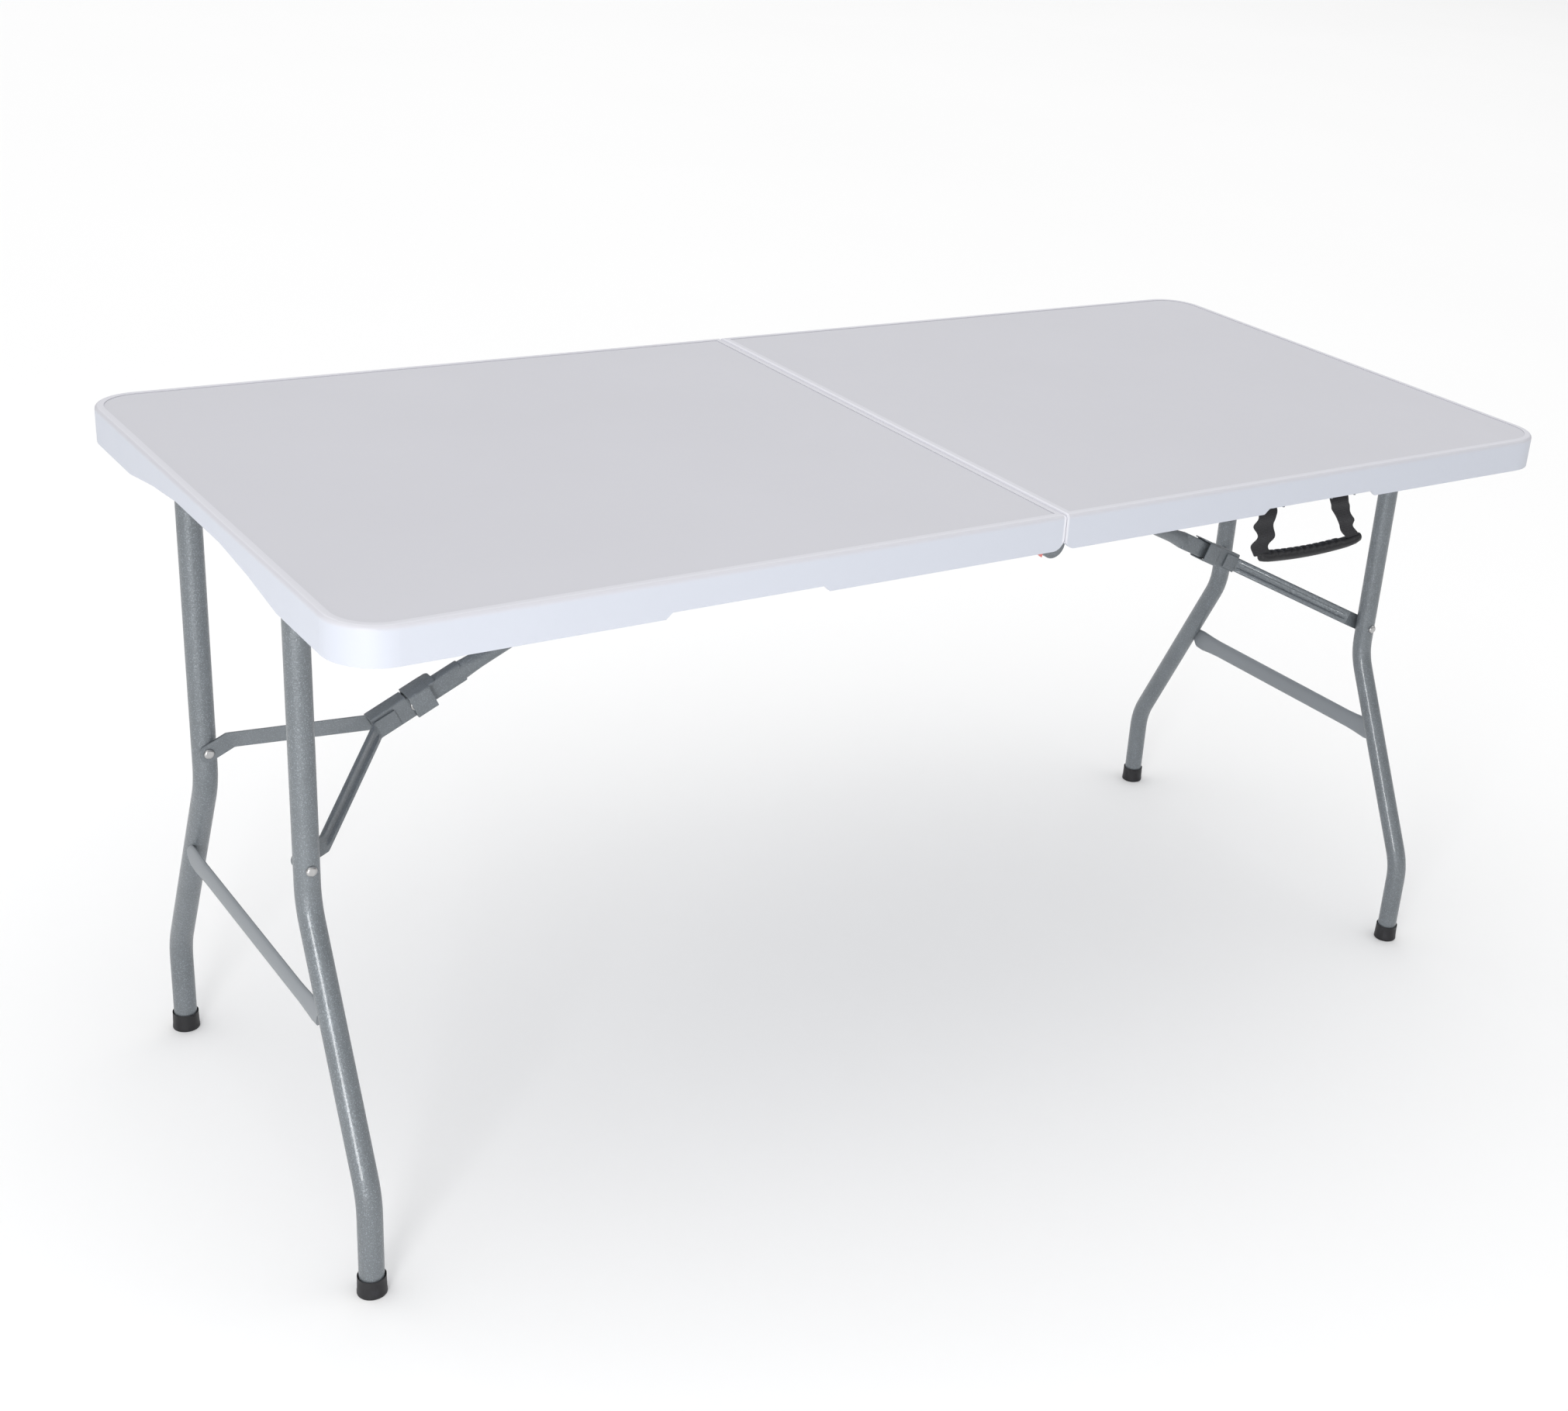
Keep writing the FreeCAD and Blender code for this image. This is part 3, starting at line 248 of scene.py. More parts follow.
def powder_coat(name, base, glint_amount):
    """Hammered coat: shallow dimples, brighter specks that are painted glints, and rubbed patches."""
    finish = Finish(name, metallic=0.25, coat=0.3)
    hammer = finish.cells(330)
    # Painted glints: tiny specks painted much brighter than the coat, standing in for light sparkling off the
    # hammered finish.
    glint_specks = finish.noise(900, 2).over(0.60, 0.07)
    wear = finish.noise(9, 4, (1, 1, 0.35)).over(0.62, 0.10)
    body = finish.tint(finish.noise(28, 3), shade(base, 0.86), shade(base, 1.12))
    with_glint_specks = finish.tint(glint_specks * glint_amount, body, shade(base, 2.1))
    finish.paint(finish.tint(wear * 0.18, with_glint_specks, shade(base, 1.6)))
    finish.set("Roughness", finish.noise(260, 2) * 0.28 + 0.26)
    finish.relief(hammer * 0.7 + finish.noise(1200, 1) * 0.35, 0.0007, 0.75)
    return finish.material


def bright_steel(base):
    """Zinc-plated steel with turned marks and slight tarnish."""
    finish = Finish("bright_steel", metallic=1.0)
    tarnish = finish.noise(260, 4)
    finish.paint(finish.tint(tarnish, shade(base, 0.72), shade(base, 1.15)))
    finish.set("Roughness", finish.noise(420, 2) * 0.25 + 0.20)
    finish.relief(finish.noise(2400, 2), 0.00008, 0.4)
    return finish.material


def black_plastic(base):
    """Moulded black plastic with scuffs that catch the light."""
    finish = Finish("black_plastic")
    scuff = finish.noise(150, 5, (1, 1, 0.3)).over(0.62, 0.08)
    finish.paint(finish.tint(scuff * 0.4, base, shade(base, 3.2)))
    finish.set("Roughness", finish.noise(90, 3) * 0.22 + 0.38)
    finish.relief(finish.noise(1700, 2), 0.0001, 0.45)
    return finish.material


def webbing_weave(base):
    """Flat nylon webbing: chunky yarns across, finer ones along, lint, and yarn tops painted lighter with the gaps
    between them painted darker, as painted sheen and shade.
    """
    finish = Finish("webbing_weave", roughness=0.82)
    across = finish.yarns(0.0016, "Z")
    along = finish.yarns(0.0021, "X", (0, math.radians(8), 0))
    weave = across * 0.65 + along * 0.45
    lint = finish.noise(1400, 3).over(0.66, 0.05)
    # Painted sheen and shade: following the weave's relief, yarn tops are painted lighter and the gaps between
    # them darker.
    weave_painted_sheen_and_shade = finish.tint(weave, shade(base, 0.45), shade(base, 1.7))
    finish.paint(finish.tint(lint * 0.35, weave_painted_sheen_and_shade, (0.10, 0.10, 0.105)))
    finish.set("Roughness", finish.noise(700, 2) * 0.15 + 0.72)
    finish.relief(weave, 0.0005, 0.8)
    return finish.material


def red_plastic(base):
    """Glossy red moulding, slightly faded."""
    finish = Finish("red_plastic", coat=0.25)
    faded = finish.noise(170, 3)
    finish.paint(finish.tint(faded, shade(base, 0.85), (0.80, 0.25, 0.22)))
    finish.set("Roughness", finish.noise(300, 2) * 0.15 + 0.25)
    finish.relief(finish.noise(1500, 2), 0.00006, 0.4)
    return finish.material


def dress(piece, material):
    piece.data.materials.clear()
    piece.data.materials.append(material)


def finish_of(name):
    return bpy.data.materials[name]


# ---- modelling --------------------------------------------------------------------------------

def rest_hands():
    """Object mode with nothing selected."""
    if bpy.context.object and bpy.context.object.mode != "OBJECT":
        bpy.ops.object.mode_set(mode="OBJECT")
    bpy.ops.object.select_all(action="DESELECT")


def take(piece):
    rest_hands()
    piece.select_set(True)
    bpy.context.view_layer.objects.active = piece


def settle(name):
    """Names the new primitive and puts its place into its mesh."""
    piece = bpy.context.active_object
    piece.name = piece.data.name = name
    bpy.ops.object.transform_apply(location=True, rotation=True, scale=True)
    return piece


def edit(piece, kind="FACE"):
    take(piece)
    bpy.ops.object.mode_set(mode="EDIT")
    bpy.ops.mesh.select_mode(type=kind)
    bpy.ops.mesh.select_all(action="DESELECT")


def choose(piece, test, kind="FACE"):
    """In edit mode, selects what passes the test."""
    bpy.ops.mesh.select_mode(type=kind)
    bpy.ops.mesh.select_all(action="DESELECT")
    mesh = bmesh.from_edit_mesh(piece.data)
    mesh.normal_update()
    parts = {"VERT": mesh.verts, "EDGE": mesh.edges, "FACE": mesh.faces}[kind]
    for part in parts:
        if test(part):
            part.select_set(True)
    mesh.select_flush_mode()
    bmesh.update_edit_mesh(piece.data)


def middle(part):
    if isinstance(part, bmesh.types.BMFace):
        return part.calc_center_median()
    return sum((v.co for v in part.verts), Vector()) / len(part.verts)


def modify(piece, kind, **settings):
    take(piece)
    modifier = piece.modifiers.new(kind.title(), kind)
    for name, item in settings.items():
        setattr(modifier, name, item)
    bpy.ops.object.modifier_apply(modifier=modifier.name)


def soften(piece, width, segments, degrees):
    """Rounds the edges that turn by more than the angle."""
    modify(piece, "BEVEL", width=width, segments=segments, limit_method="ANGLE",
           angle_limit=math.radians(degrees))


def smooth(piece, degrees):
    take(piece)
    bpy.ops.object.shade_smooth_by_angle(angle=math.radians(degrees))


def drawn_out(name, sides, axis, sections):
    """A closed bar drawn out section by section. A section is (centre, size across, size up).

    With four sides, its faces look across and up.
    """
    turn = {"X": (0, math.pi / 2, 0), "Y": (-math.pi / 2, 0, 0)}[axis]
    first_place, first_across, first_up = sections[0]
    rest_hands()
    bpy.ops.mesh.primitive_circle_add(vertices=sides, radius=0.5, fill_type="NGON",
                                      location=first_place, rotation=turn)
    piece = settle(name)
    edit(piece)
    bpy.ops.mesh.select_all(action="SELECT")

    def grow(across, up, place):
        size = (1, across, up) if axis == "X" else (across, 1, up)
        bpy.ops.transform.resize(value=size, center_override=place)

    if sides == 4:
        bpy.ops.transform.rotate(value=math.pi / 4, orient_axis=axis,
                                 center_override=first_place)
        grow(math.sqrt(2), math.sqrt(2), first_place)
    grow(first_across, first_up, first_place)
    for (before, across, up), (place, wide, tall) in zip(sections, sections[1:]):
        step = Vector(place) - Vector(before)
        bpy.ops.mesh.extrude_region_move(TRANSFORM_OT_translate={"value": step})
        grow(wide / across, tall / up, place)
    bpy.ops.mesh.select_all(action="SELECT")
    bpy.ops.mesh.normals_make_consistent(inside=False)
    bpy.ops.object.mode_set(mode="OBJECT")
    return piece


def block(name, low, high):
    low, high = Vector(low), Vector(high)
    rest_hands()
    bpy.ops.mesh.primitive_cube_add(size=1, location=(low + high) / 2, scale=high - low)
    return settle(name)


def slice_at(piece, places, normal):
    """Cuts new edge rings through the whole piece."""
    for place in places:
        choose(piece, lambda face: True)
        bpy.ops.mesh.bisect(plane_co=place, plane_no=normal)


def copy_of(piece, name):
    take(piece)
    bpy.ops.object.duplicate(linked=False)
    copy = bpy.context.active_object
    copy.name = copy.data.name = name
    return copy


def mirrored(piece, name, axis):
    """A copy on the table's other side, with its faces still outwards."""
    copy = copy_of(piece, name)
    scale = [1, 1, 1]
    scale["XYZ".index(axis)] = -1
    edit(copy)
    bpy.ops.mesh.select_all(action="SELECT")
    bpy.ops.transform.resize(value=scale, center_override=(0, 0, 0))
    bpy.ops.mesh.flip_normals()
    bpy.ops.object.mode_set(mode="OBJECT")
    return copy


def join(pieces, name):
    take(pieces[0])
    for piece in pieces:
        piece.select_set(True)
    bpy.ops.object.join()
    whole = bpy.context.active_object
    whole.name = whole.data.name = name
    return whole


def swapped(piece, name, axis):
    """Puts a mirrored copy in the place of a piece."""
    piece.name = name + "_before"
    copy = mirrored(piece, name, axis)
    bpy.data.objects.remove(piece)
    return copy


def at_corners(model, stem):
    """A copy of the rear right piece for each corner, and then the model is removed."""
    for side in SIDES:
        for end in ENDS:
            name = f"{stem}_{side}_{end}"
            piece = copy_of(model, name)
            if end == "front":
                piece = swapped(piece, name, "Y")
            if side == "left":
                piece = swapped(piece, name, "X")
            yield side, end, piece
    bpy.data.objects.remove(model)


def fit_out(piece, node, body, material):
    """Finishes a piece: its body, the CAD node it stands for, and its finish."""
    dress(piece, finish_of(material))
    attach(piece, body)
    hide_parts(node)


def fit_both(right, stem, node, body, material):
    """Fits out a piece of the right side and its mirrored copy on the left."""
    left = mirrored(right, f"{stem}_left", "X")
    for side, piece in (("right", right), ("left", left)):
        fit_out(piece, f"{side}_{node}", f"{side}_{body}", material)


def place_of(joint):
    return Vector(JOINTS[joint]["pos_m"])


def onto_brace(piece):
    """Turns a piece drawn along X at the origin onto the right-hand brace, elbow at its pin."""
    elbow, anchor = place_of("right_yoke_fold"), place_of("right_bar_swing")
    run = elbow - anchor
    take(piece)
    piece.rotation_euler = (0, math.atan2(-run.z, run.x), 0)
    piece.location = elbow
    bpy.ops.object.transform_apply(location=True, rotation=True, scale=True)


# ---- operators --------------------------------------------------------------------------------

class TABLE_OT_finishes(bpy.types.Operator):
    """Make the table's materials and dress the frame's own pieces in them"""
    bl_idname = "table.finishes"
    bl_label = "Finishes"

    def execute(self, context):
        wanted = context.scene.table_finishes
        panel = panel_plastic(wanted.panel)
        leg = powder_coat("leg_coat", wanted.leg, 0.55)
        brace = powder_coat("brace_coat", wanted.brace, 0.35)
        steel = bright_steel(wanted.steel)
        black = black_plastic(wanted.black)
        webbing = webbing_weave(wanted.webbing)
        red = red_plastic(wanted.catch)
        by_slot = {"panel_plastic": panel, "leg_coat": leg, "frame_coat": brace,
                   "bright_steel": steel, "foot_plastic": black, "grip_plastic": black,
                   "webbing": webbing, "catch_plastic": red}
        for entry in frame["record"]["subparts"]:
            dress(frame["nodes"][entry["node"]], by_slot[entry["material_slot"]])
        return {"FINISHED"}


class TABLE_OT_foot_caps(bpy.types.Operator):
    """Model the four plastic foot caps"""
    bl_idname = "table.foot_caps"
    bl_label = "Foot caps"

    def execute(self, context):
        sizes = context.scene.table_sizes
        low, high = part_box("right_foot_cap_rear")
        x, y = (low.x + high.x) / 2, (low.y + high.y) / 2
        radius, tall = (high.x - low.x) / 2, high.z
        rest_hands()
        bpy.ops.mesh.primitive_cylinder_add(vertices=sizes.cap_sides, radius=radius, depth=tall,
                                            location=(x, y, tall / 2))
        cap = settle("cap_model")
        tread, foot, lip = tall * 0.16, tall * 0.24, tall * 0.86
        edit(cap)
        slice_at(cap, [(0, 0, tread), (0, 0, foot), (0, 0, lip)], (0, 0, 1))
        choose(cap, lambda v: v.co.z > tall * 0.8, "VERT")
        self.widen(0.975, x, y)
        choose(cap, lambda v: v.co.z < tall * 0.2, "VERT")
        self.widen(1 + sizes.cap_flare / radius, x, y)
        self.sink(cap, lambda f: f.normal.z > 0.9, radius * 0.13, (0, 0, -tall * 0.22))
        self.sink(cap, lambda f: f.normal.z < -0.9, radius * 0.3, (0, 0, 0.0008))
        vent_turn = -math.pi * 0.62
        self.sink(cap, lambda f: abs(f.normal.z) < 0.3 and middle(f).z > tall * 0.8
                  and abs(math.atan2(f.normal.y, f.normal.x) - vent_turn) < 0.12,
                  0.0006, (0.0004, 0.0007, 0))
        bpy.ops.object.mode_set(mode="OBJECT")
        soften(cap, 0.0011, 3, 50)
        smooth(cap, 40)
        for side, end, piece in at_corners(cap, "cap"):
            fit_out(piece, f"{side}_foot_cap_{end}", f"{side}_leg_frame",
                    "black_plastic")
        return {"FINISHED"}

    @staticmethod
    def widen(factor, x, y):
        bpy.ops.transform.resize(value=(factor, factor, 1), center_override=(x, y, 0))

    @staticmethod
    def sink(cap, test, border, move):
        """Insets the chosen faces and moves them."""
        choose(cap, test)
        bpy.ops.mesh.inset(thickness=border)
        bpy.ops.transform.translate(value=move)


class TABLE_OT_crossbars(bpy.types.Operator):
    """Model the flat-oval bar between each pair of legs"""
    bl_idname = "table.crossbars"
    bl_label = "Crossbars"

    def execute(self, context):
        low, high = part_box("right_crossbar")
        x, z = (low.x + high.x) / 2, (low.z + high.z) / 2
        end_gap, leg_lean = 0.012, math.radians(26.3)
        reach, tall = high.y - end_gap, high.z - low.z
        thick = high.x - low.x
        flare = ((1, 0.9, 1.0), (0.9, 0.95, 0.97), (0.8, 1, 0.86), (0.72, 1, 0.81))
        stations = [(-share, wide, up) for share, wide, up in flare]
        stations += [(0, 1, 0.81), *reversed(flare)]
        sections = [((x, share * reach, z), thick * wide, tall * up)
                    for share, wide, up in stations]
        bar = drawn_out("crossbar_right", 28, "Y", sections)
        edit(bar, "VERT")
        for side in (-1, 1):
            choose(bar, lambda v: v.co.y * side > reach - 0.001, "VERT")
            bpy.ops.transform.rotate(value=side * leg_lean, orient_axis="X",
                                     center_override=(x, side * reach, z))
        bpy.ops.object.mode_set(mode="OBJECT")
        smooth(bar, 50)
        fit_both(bar, "crossbar", "crossbar", "leg_frame", "leg_coat")
        return {"FINISHED"}


class TABLE_OT_straps(bpy.types.Operator):
    """Model the two webbing tails of the carrying handle"""
    bl_idname = "table.straps"
    bl_label = "Webbing tails"

    def execute(self, context):
        sizes = context.scene.table_sizes
        for side in SIDES:
            self.tail(side, sizes)
        return {"FINISHED"}

    @staticmethod
    def tail(side, sizes):
        node = f"handle_strap_{side}"
        low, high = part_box(node)
        pin = place_of("handle_swing")
        loop, wide = 0.0041, 0.031
        over_pin, hang, columns = 7, 22, 6
        into_grip, slant_from, waves_from = 0.004, 0.18, 0.10
        top, bottom = pin.z, low.z - into_grip
        left = side == "left"
        start = (low.x + high.x) / 2 if left else low.x + 0.016
        phase = 0.0 if left else 1.3
        rows = []
        for step in range(over_pin + 1):
            turn = math.radians(170 - step * 170 / over_pin)
            rows.append((start, pin.y + loop * math.cos(turn), top + loop * math.sin(turn), wide))
        for step in range(1, hang + 1):
            share = step / hang
            drop = top + (bottom - top) * share
            lean = max(0.0, share - slant_from) / (1 - slant_from)
            ripple = sizes.webbing_ripple * math.sin(share * 17 + phase) * min(1, share * 3)
            free = min(1, max(0.0, share - waves_from) * 6)
            if left:
                x = start + 0.0024 * math.sin(share * 13.0) * free - 0.001 * share
                width = wide - 0.0030 * share + 0.0026 * math.sin(share * 19) * free
            else:
                x = start + 0.0315 * lean ** 1.05 + 0.0010 * math.sin(share * 21) * free
                width = wide - 0.0105 * lean + 0.0021 * math.sin(share * 23) * free
            front = pin.y + loop * (1 - min(1, share * 6)) + ripple
            rows.append((x, front, drop, width))
        rest_hands()
        bpy.ops.mesh.primitive_grid_add(x_subdivisions=columns, y_subdivisions=len(rows) - 1,
                                        size=1, rotation=(math.pi / 2, 0, 0))
        strap = settle(f"strap_{side}")
        across = columns + 1
        edit(strap, "VERT")
        for number, (x, y, z, width) in enumerate(rows):
            first = (len(rows) - 1 - number) * across
            chosen = range(first, first + across)
            choose(strap, lambda v: v.index in chosen, "VERT")
            height = 0.5 - number / (len(rows) - 1)
            bpy.ops.transform.translate(value=(x, y, z - height))
            bpy.ops.transform.resize(value=(width, 1, 1), center_override=(x, y, z))
        bpy.ops.object.mode_set(mode="OBJECT")
        modify(strap, "SOLIDIFY", thickness=sizes.webbing_thick, offset=0)
        modify(strap, "SUBSURF", levels=1, render_levels=1)
        smooth(strap, 60)
        fit_out(strap, node, "handle", "webbing_weave")


class TABLE_OT_grip(bpy.types.Operator):
    """Model the curved, ribbed grip of the carrying handle"""
    bl_idname = "table.grip"
    bl_label = "Carrying grip"

    def execute(self, context):
        sizes = context.scene.table_sizes
        low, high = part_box("handle_grip")
        y = (low.y + high.y) / 2
        thick = high.y - low.y
        plain_steps, first_rib = 9, 3
        middle_down, sag_depth, body_tall, curl_from = 0.0062, 0.0042, 0.0115, 0.86
        count = sizes.grip_ribs * 2 + plain_steps
        sections = []
        for step in range(count + 1):
            share = step / count
            x = low.x + (high.x - low.x) * share
            sag = math.sin(math.pi * min(1, share * 1.03)) ** 0.8 if 0 < share < 0.97 else 0.0
            curl = 0.0018 * max(0.0, share - curl_from) / (1 - curl_from)
            z = high.z - middle_down - sag_depth * sag + curl
            end = min(1.0, 0.55 + share * 9, 0.60 + (1 - share) * 7)
            sections.append(((x, y, z), thick * 0.96 * end, body_tall * (0.75 + 0.25 * end)))
        grip = drawn_out("grip", 20, "X", sections)
        edit(grip)
        pitch = (high.x - low.x) / count
        start = low.x + pitch * first_rib

        def on_rib(face):
            place = middle(face)
            number = int((place.x - start) / pitch)
            return (face.normal.z > 0.25 and abs(face.normal.x) < 0.5 and place.x > start
                    and 0 <= number < sizes.grip_ribs * 2 and number % 2 == 0)

        choose(grip, on_rib)
        rise = (pitch * 0.35, 0, sizes.rib_tall)
        bpy.ops.mesh.extrude_region_move(TRANSFORM_OT_translate={"value": rise})
        bpy.ops.object.mode_set(mode="OBJECT")
        soften(grip, 0.0005, 2, 40)
        smooth(grip, 45)
        fit_out(grip, "handle_grip", "handle", "black_plastic")
        return {"FINISHED"}


class TABLE_OT_arms(bpy.types.Operator):
    """Model the pressed arms that join each brace to its legs"""
    bl_idname = "table.arms"
    bl_label = "Brace arms"

    def execute(self, context):
        sizes = context.scene.table_sizes
        elbow, fold = place_of("right_yoke_fold"), place_of("right_leg_fold")
        rivet_low, rivet_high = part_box("right_arm_rivets")
        rivet = Vector((fold.x, 0, (rivet_low.z + rivet_high.z) / 2))
        length = (rivet - elbow).length
        inner, outer = 0.0089, 0.1277      # the arm's inside face at the clevis and at the leg
        root, clevis_end, tab, bend, ease = 0.022, 0.047, 0.025, 0.002, 0.0015
        path = ((root, inner), (clevis_end - bend, inner), (clevis_end, inner + ease),
                (length - tab - bend, outer - ease), (length - tab, outer),
                (length + ARM_TALL / 2, outer))
        sections = [((x, y + ARM_THICK / 2, 0), ARM_THICK, ARM_TALL) for x, y in path]
        arm = self.strip("arm_model", sections)
        run_start, run_end = 0.052, length - 0.031
        lean = math.atan2(outer - inner, run_end - run_start)
        groove, ridge_in, ridge_out = 0.0024, 0.0042, 0.0078

        def band(low, high):
            def test(face):
                place = middle(face)
                return (run_start < place.x < run_end and low < abs(place.z) < high
                        and face.normal.y > 0.3)
            return test

        edit(arm)
        levels = (-ridge_out, -ridge_in, -groove, groove, ridge_in, ridge_out)
        slice_at(arm, [(0, 0, z) for z in levels], (0, 0, 1))
        slice_at(arm, [(run_start, 0, 0), (run_end, 0, 0)], (1, 0, 0))
        push = Vector((-math.sin(lean), math.cos(lean), 0))
        for low, high, amount in ((ridge_in, ridge_out, 1.0), (0.0, groove, -0.6)):
            choose(arm, band(low, high))
            bpy.ops.transform.translate(value=push * sizes.ridge_tall * amount)
        bpy.ops.object.mode_set(mode="OBJECT")
        soften(arm, 0.0006, 2, 28)
        smooth(arm, 50)
        onto_brace(arm)
        for side, end, piece in at_corners(arm, "arm"):
            fit_out(piece, f"{side}_arm_{end}", f"{side}_yoke", "brace_coat")
        return {"FINISHED"}

    @staticmethod
    def strip(name, sections):
        """Flat strip bent along its path, its far end rounded."""
        arm = drawn_out(name, 4, "X", sections)
        end = sections[-1][0][0]
        edit(arm)
        choose(arm, lambda e: abs(middle(e).x - end) < NEAR
               and abs(abs(middle(e).z) - ARM_TALL / 2) < NEAR, "EDGE")
        bpy.ops.mesh.bevel(offset=ARM_TALL * 0.49, segments=8)
        bpy.ops.object.mode_set(mode="OBJECT")
        return arm


class TABLE_OT_bars(bpy.types.Operator):
    """Model the round brace bars and the flat tongues at their ends"""
    bl_idname = "table.bars"
    bl_label = "Brace bars"

    def execute(self, context):
        top = (place_of("right_bar_swing") - place_of("right_yoke_fold")).length
        # Each station is its distance along the bar, its width and its height.
        profile = ((-top + 0.044, BAR_FLAT, BAR_ROUND * 0.98),
                   (-top + 0.056, BAR_ROUND * 0.94, BAR_ROUND),
                   (-top + 0.062, BAR_ROUND, BAR_ROUND),
                   (-0.082, BAR_ROUND, BAR_ROUND),
                   (-0.074, BAR_ROUND * 0.93, 0.0192),
                   (-0.060, 0.0140, 0.0222),
                   (-0.052, BAR_FLAT, LOW_TONGUE_TALL * 0.98))
        tube = drawn_out("bar_tube", 32, "X", [((x, 0, 0), wide, tall)
                                               for x, wide, tall in profile])
        low = self.tongue("bar_low", -0.060, 0.0, LOW_TONGUE_TALL, 1)
        high = self.tongue("bar_top", -top + 0.050, -top, BAR_ROUND, -1)
        bar = join([tube, low, high], "bar_right")
        smooth(bar, 42)
        onto_brace(bar)
        fit_both(bar, "bar", "brace_bar", "bar", "brace_coat")
        return {"FINISHED"}

    @staticmethod
    def tongue(name, root, eye, tall, way):
        """Flat end of a bar, rounded about its pin."""
        half = tall / 2
        tip = eye + way * half
        start, end = sorted((root, tip))
        tongue = block(name, (start, -BAR_FLAT / 2, -half), (end, BAR_FLAT / 2, half))
        edit(tongue)
        choose(tongue, lambda e: abs(middle(e).x - tip) < NEAR and abs(middle(e).y) < NEAR, "EDGE")
        bpy.ops.mesh.bevel(offset=half * 0.98, segments=10)
        bpy.ops.object.mode_set(mode="OBJECT")
        soften(tongue, 0.0018, 3, 60)
        return tongue


class TABLE_OT_lock_rings(bpy.types.Operator):
    """Model the sheet-metal lock ring that slides over each elbow"""
    bl_idname = "table.lock_rings"
    bl_label = "Lock rings"

    def execute(self, context):
        start, end = -0.020, 0.004           # along the bar, from the elbow's pin
        outer, wall = 0.0137, 0.0018         # half the sleeve's width, and its sheet
        tab_half, tab_reach = 0.0119, 0.009
        ring = block("ring_right", (start, -outer, -outer), (end, outer, outer))
        edit(ring)
        choose(ring, lambda e: abs(middle(e).x - (start + end) / 2) < NEAR, "EDGE")
        bpy.ops.mesh.bevel(offset=0.0027, segments=4)
        choose(ring, lambda f: abs(f.normal.x) > 0.9)
        bpy.ops.mesh.delete(type="FACE")
        slice_at(ring, [(start + 0.004, 0, 0), (end - 0.003, 0, 0)], (1, 0, 0))
        bpy.ops.object.mode_set(mode="OBJECT")
        modify(ring, "SOLIDIFY", thickness=wall, offset=-1)
        tab_tip, tab_root = start - tab_reach, start + 0.002
        tab = block("ring_tab", (tab_tip, -tab_half, outer - wall),
                    (tab_root, tab_half, outer - 0.0001))
        edit(tab)
        choose(tab, lambda e: abs(middle(e).x - tab_tip) < NEAR
               and abs(abs(middle(e).y) - tab_half) < NEAR, "EDGE")
        bpy.ops.mesh.bevel(offset=0.0045, segments=5)
        bpy.ops.object.mode_set(mode="OBJECT")
        sleeve = join([ring, tab], "ring_right")
        soften(sleeve, 0.00045, 2, 50)
        smooth(sleeve, 40)
        onto_brace(sleeve)
        fit_both(sleeve, "ring", "lock_ring", "ring", "brace_coat")
        return {"FINISHED"}


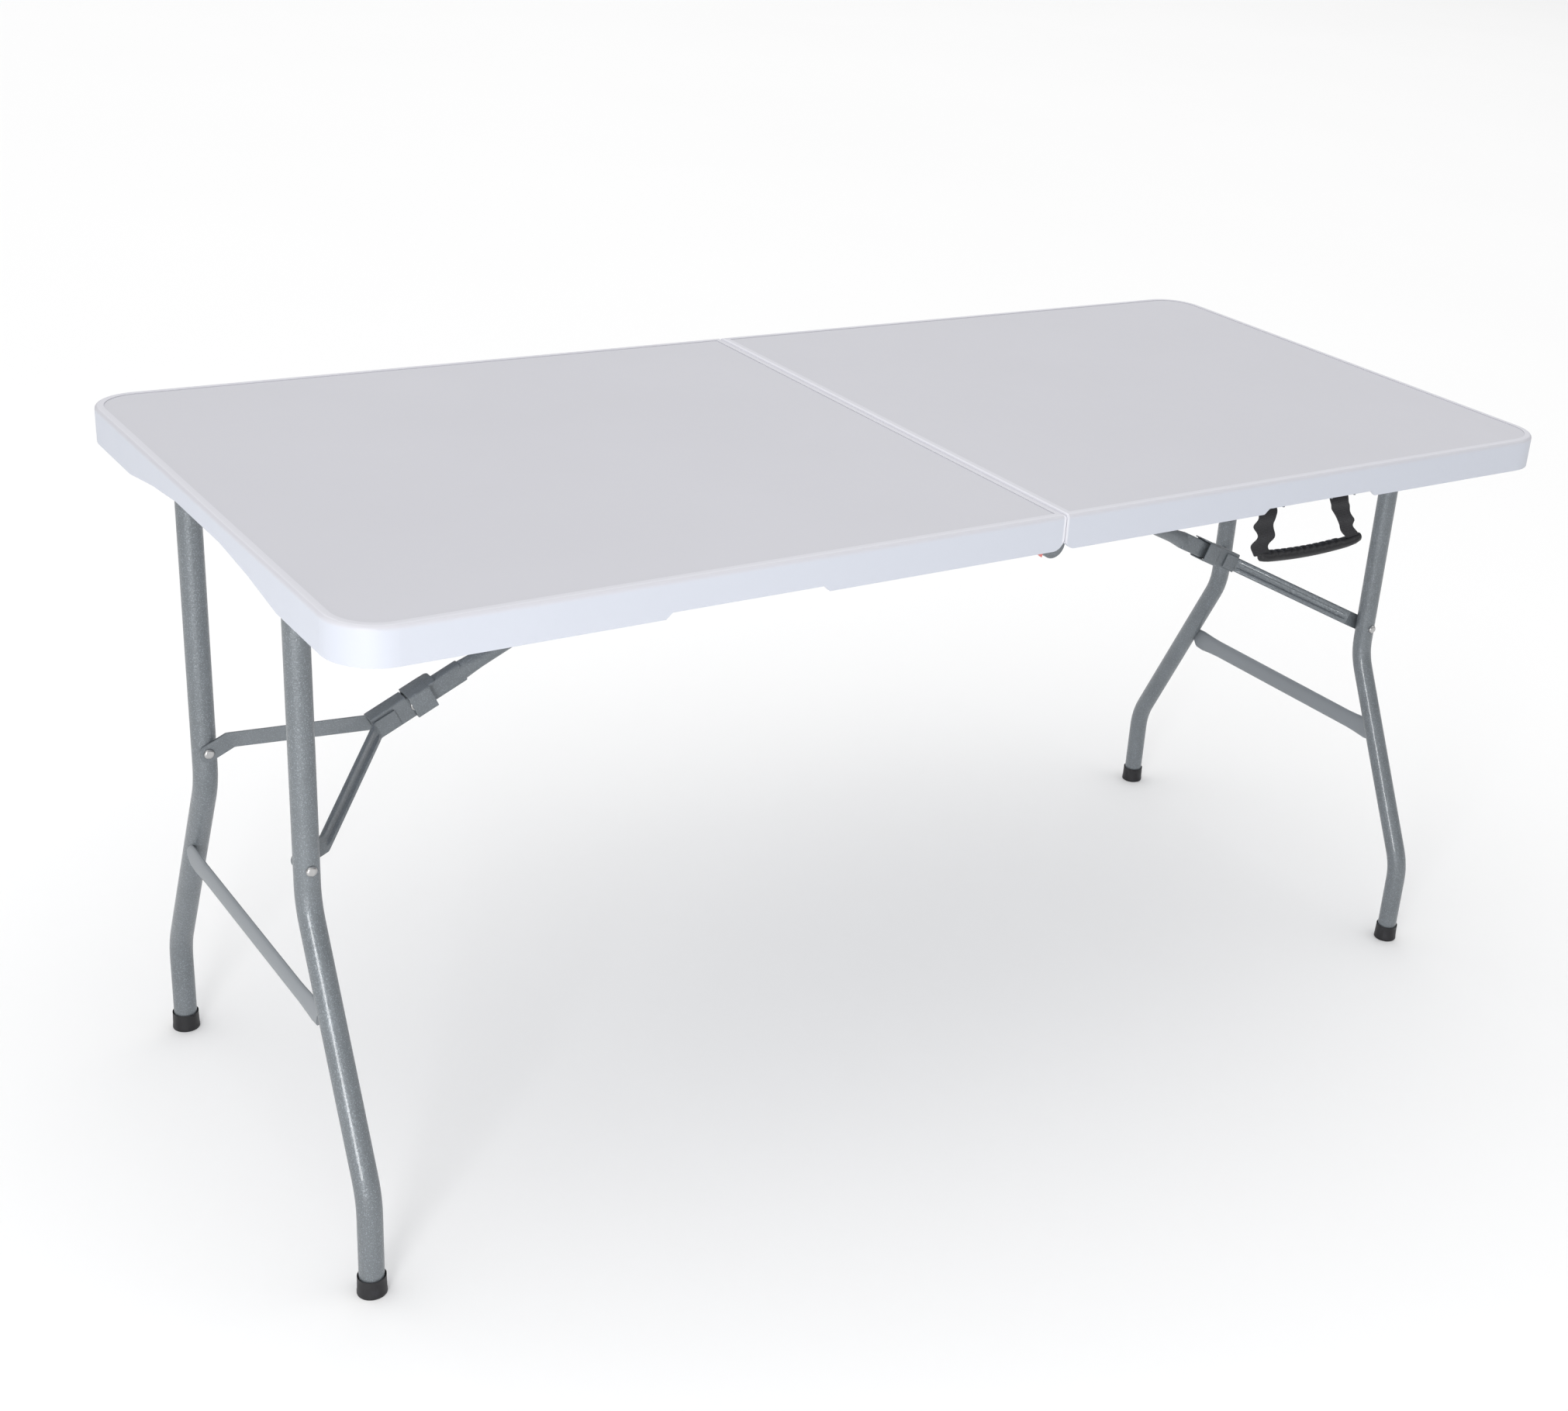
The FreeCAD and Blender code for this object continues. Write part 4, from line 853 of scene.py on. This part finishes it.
class TABLE_OT_stage(bpy.types.Operator):
    """Set the floor, the soft lights and the camera"""
    bl_idname = "table.stage"
    bl_label = "Stage"

    def execute(self, context):
        rest_hands()
        bpy.ops.mesh.primitive_plane_add(size=160, location=(0, 0, 0))
        floor = settle("floor")
        backdrop = Finish("pale_floor", roughness=0.9)
        grey = backdrop.noise(0.7, 3)
        backdrop.paint(backdrop.tint(grey, (0.90, 0.90, 0.90), (0.92, 0.92, 0.92)))
        dress(floor, backdrop.material)
        self.light("key_light", (-2.5, -2.3, 0.80), (-0.6, 0.0, 0.45), 0.8, 44)
        self.light("front_light", (-0.6, -3.8, 1.2), (-0.1, 0.0, 0.65), 2.4, 9)
        self.light("ceiling_light", (0.0, 6.0, 16.0), (0.0, 6.0, 0.0), 46.0, 6200)
        world = bpy.data.worlds.new("soft_room")
        context.scene.world = world
        context.scene.view_settings.view_transform = "Standard"
        world.use_nodes = True
        sky = world.node_tree.nodes["Background"]
        sky.inputs["Color"].default_value = (1.0, 1.0, 1.0, 1)
        sky.inputs["Strength"].default_value = 0.42
        self.camera(context)
        return {"FINISHED"}

    @staticmethod
    def light(name, place, target, size, power):
        """A square area lamp that shines at its target and isn't seen itself."""
        rest_hands()
        bpy.ops.object.light_add(type="AREA", location=place)
        lamp = bpy.context.active_object
        lamp.name = name
        lamp.data.size = size
        lamp.data.energy = power
        lamp.visible_camera = False
        lamp.rotation_euler = (Vector(target) - Vector(place)).to_track_quat("-Z", "Y").to_euler()

    @staticmethod
    def camera(context):
        rest_hands()
        turn = tuple(math.radians(a) for a in (65.8544, -5.6073, -37.7532))
        bpy.ops.object.camera_add(location=(-1.36555, -1.94410, 1.45821), rotation=turn)
        view = bpy.context.active_object
        view.name = "view_camera"
        view.data.sensor_fit = "HORIZONTAL"
        view.data.sensor_width = 36
        view.data.lens = 49.67
        view.data.shift_x = -0.16028
        view.data.shift_y = 0.00104
        view.data.clip_end = 200
        context.scene.camera = view


class TABLE_PT_pieces(bpy.types.Panel):
    """Buttons for the table's pieces"""
    bl_label = "Folding Table"
    bl_idname = "TABLE_PT_pieces"
    bl_space_type = "VIEW_3D"
    bl_region_type = "UI"
    bl_category = "Folding Table"

    def draw(self, context):
        for settings in (context.scene.table_finishes, context.scene.table_sizes):
            column = self.layout.column(align=True)
            for name in settings.__annotations__:
                column.prop(settings, name)
        for operator in OPERATORS:
            self.layout.operator(operator.bl_idname)


OPERATORS = (TABLE_OT_finishes, TABLE_OT_foot_caps, TABLE_OT_crossbars, TABLE_OT_straps,
             TABLE_OT_grip, TABLE_OT_arms, TABLE_OT_bars, TABLE_OT_lock_rings, TABLE_OT_stage)
CLASSES = (TableFinishes, TableSizes, *OPERATORS, TABLE_PT_pieces)


def register():
    for item in CLASSES:
        bpy.utils.register_class(item)
    bpy.types.Scene.table_finishes = PointerProperty(type=TableFinishes)
    bpy.types.Scene.table_sizes = PointerProperty(type=TableSizes)


def unregister():
    del bpy.types.Scene.table_sizes
    del bpy.types.Scene.table_finishes
    for item in reversed(CLASSES):
        bpy.utils.unregister_class(item)


def main():
    register()
    for operator in OPERATORS:
        group, name = operator.bl_idname.split(".")
        getattr(getattr(bpy.ops, group), name)()
    rest_hands()


if __name__ == "__main__":
    main()
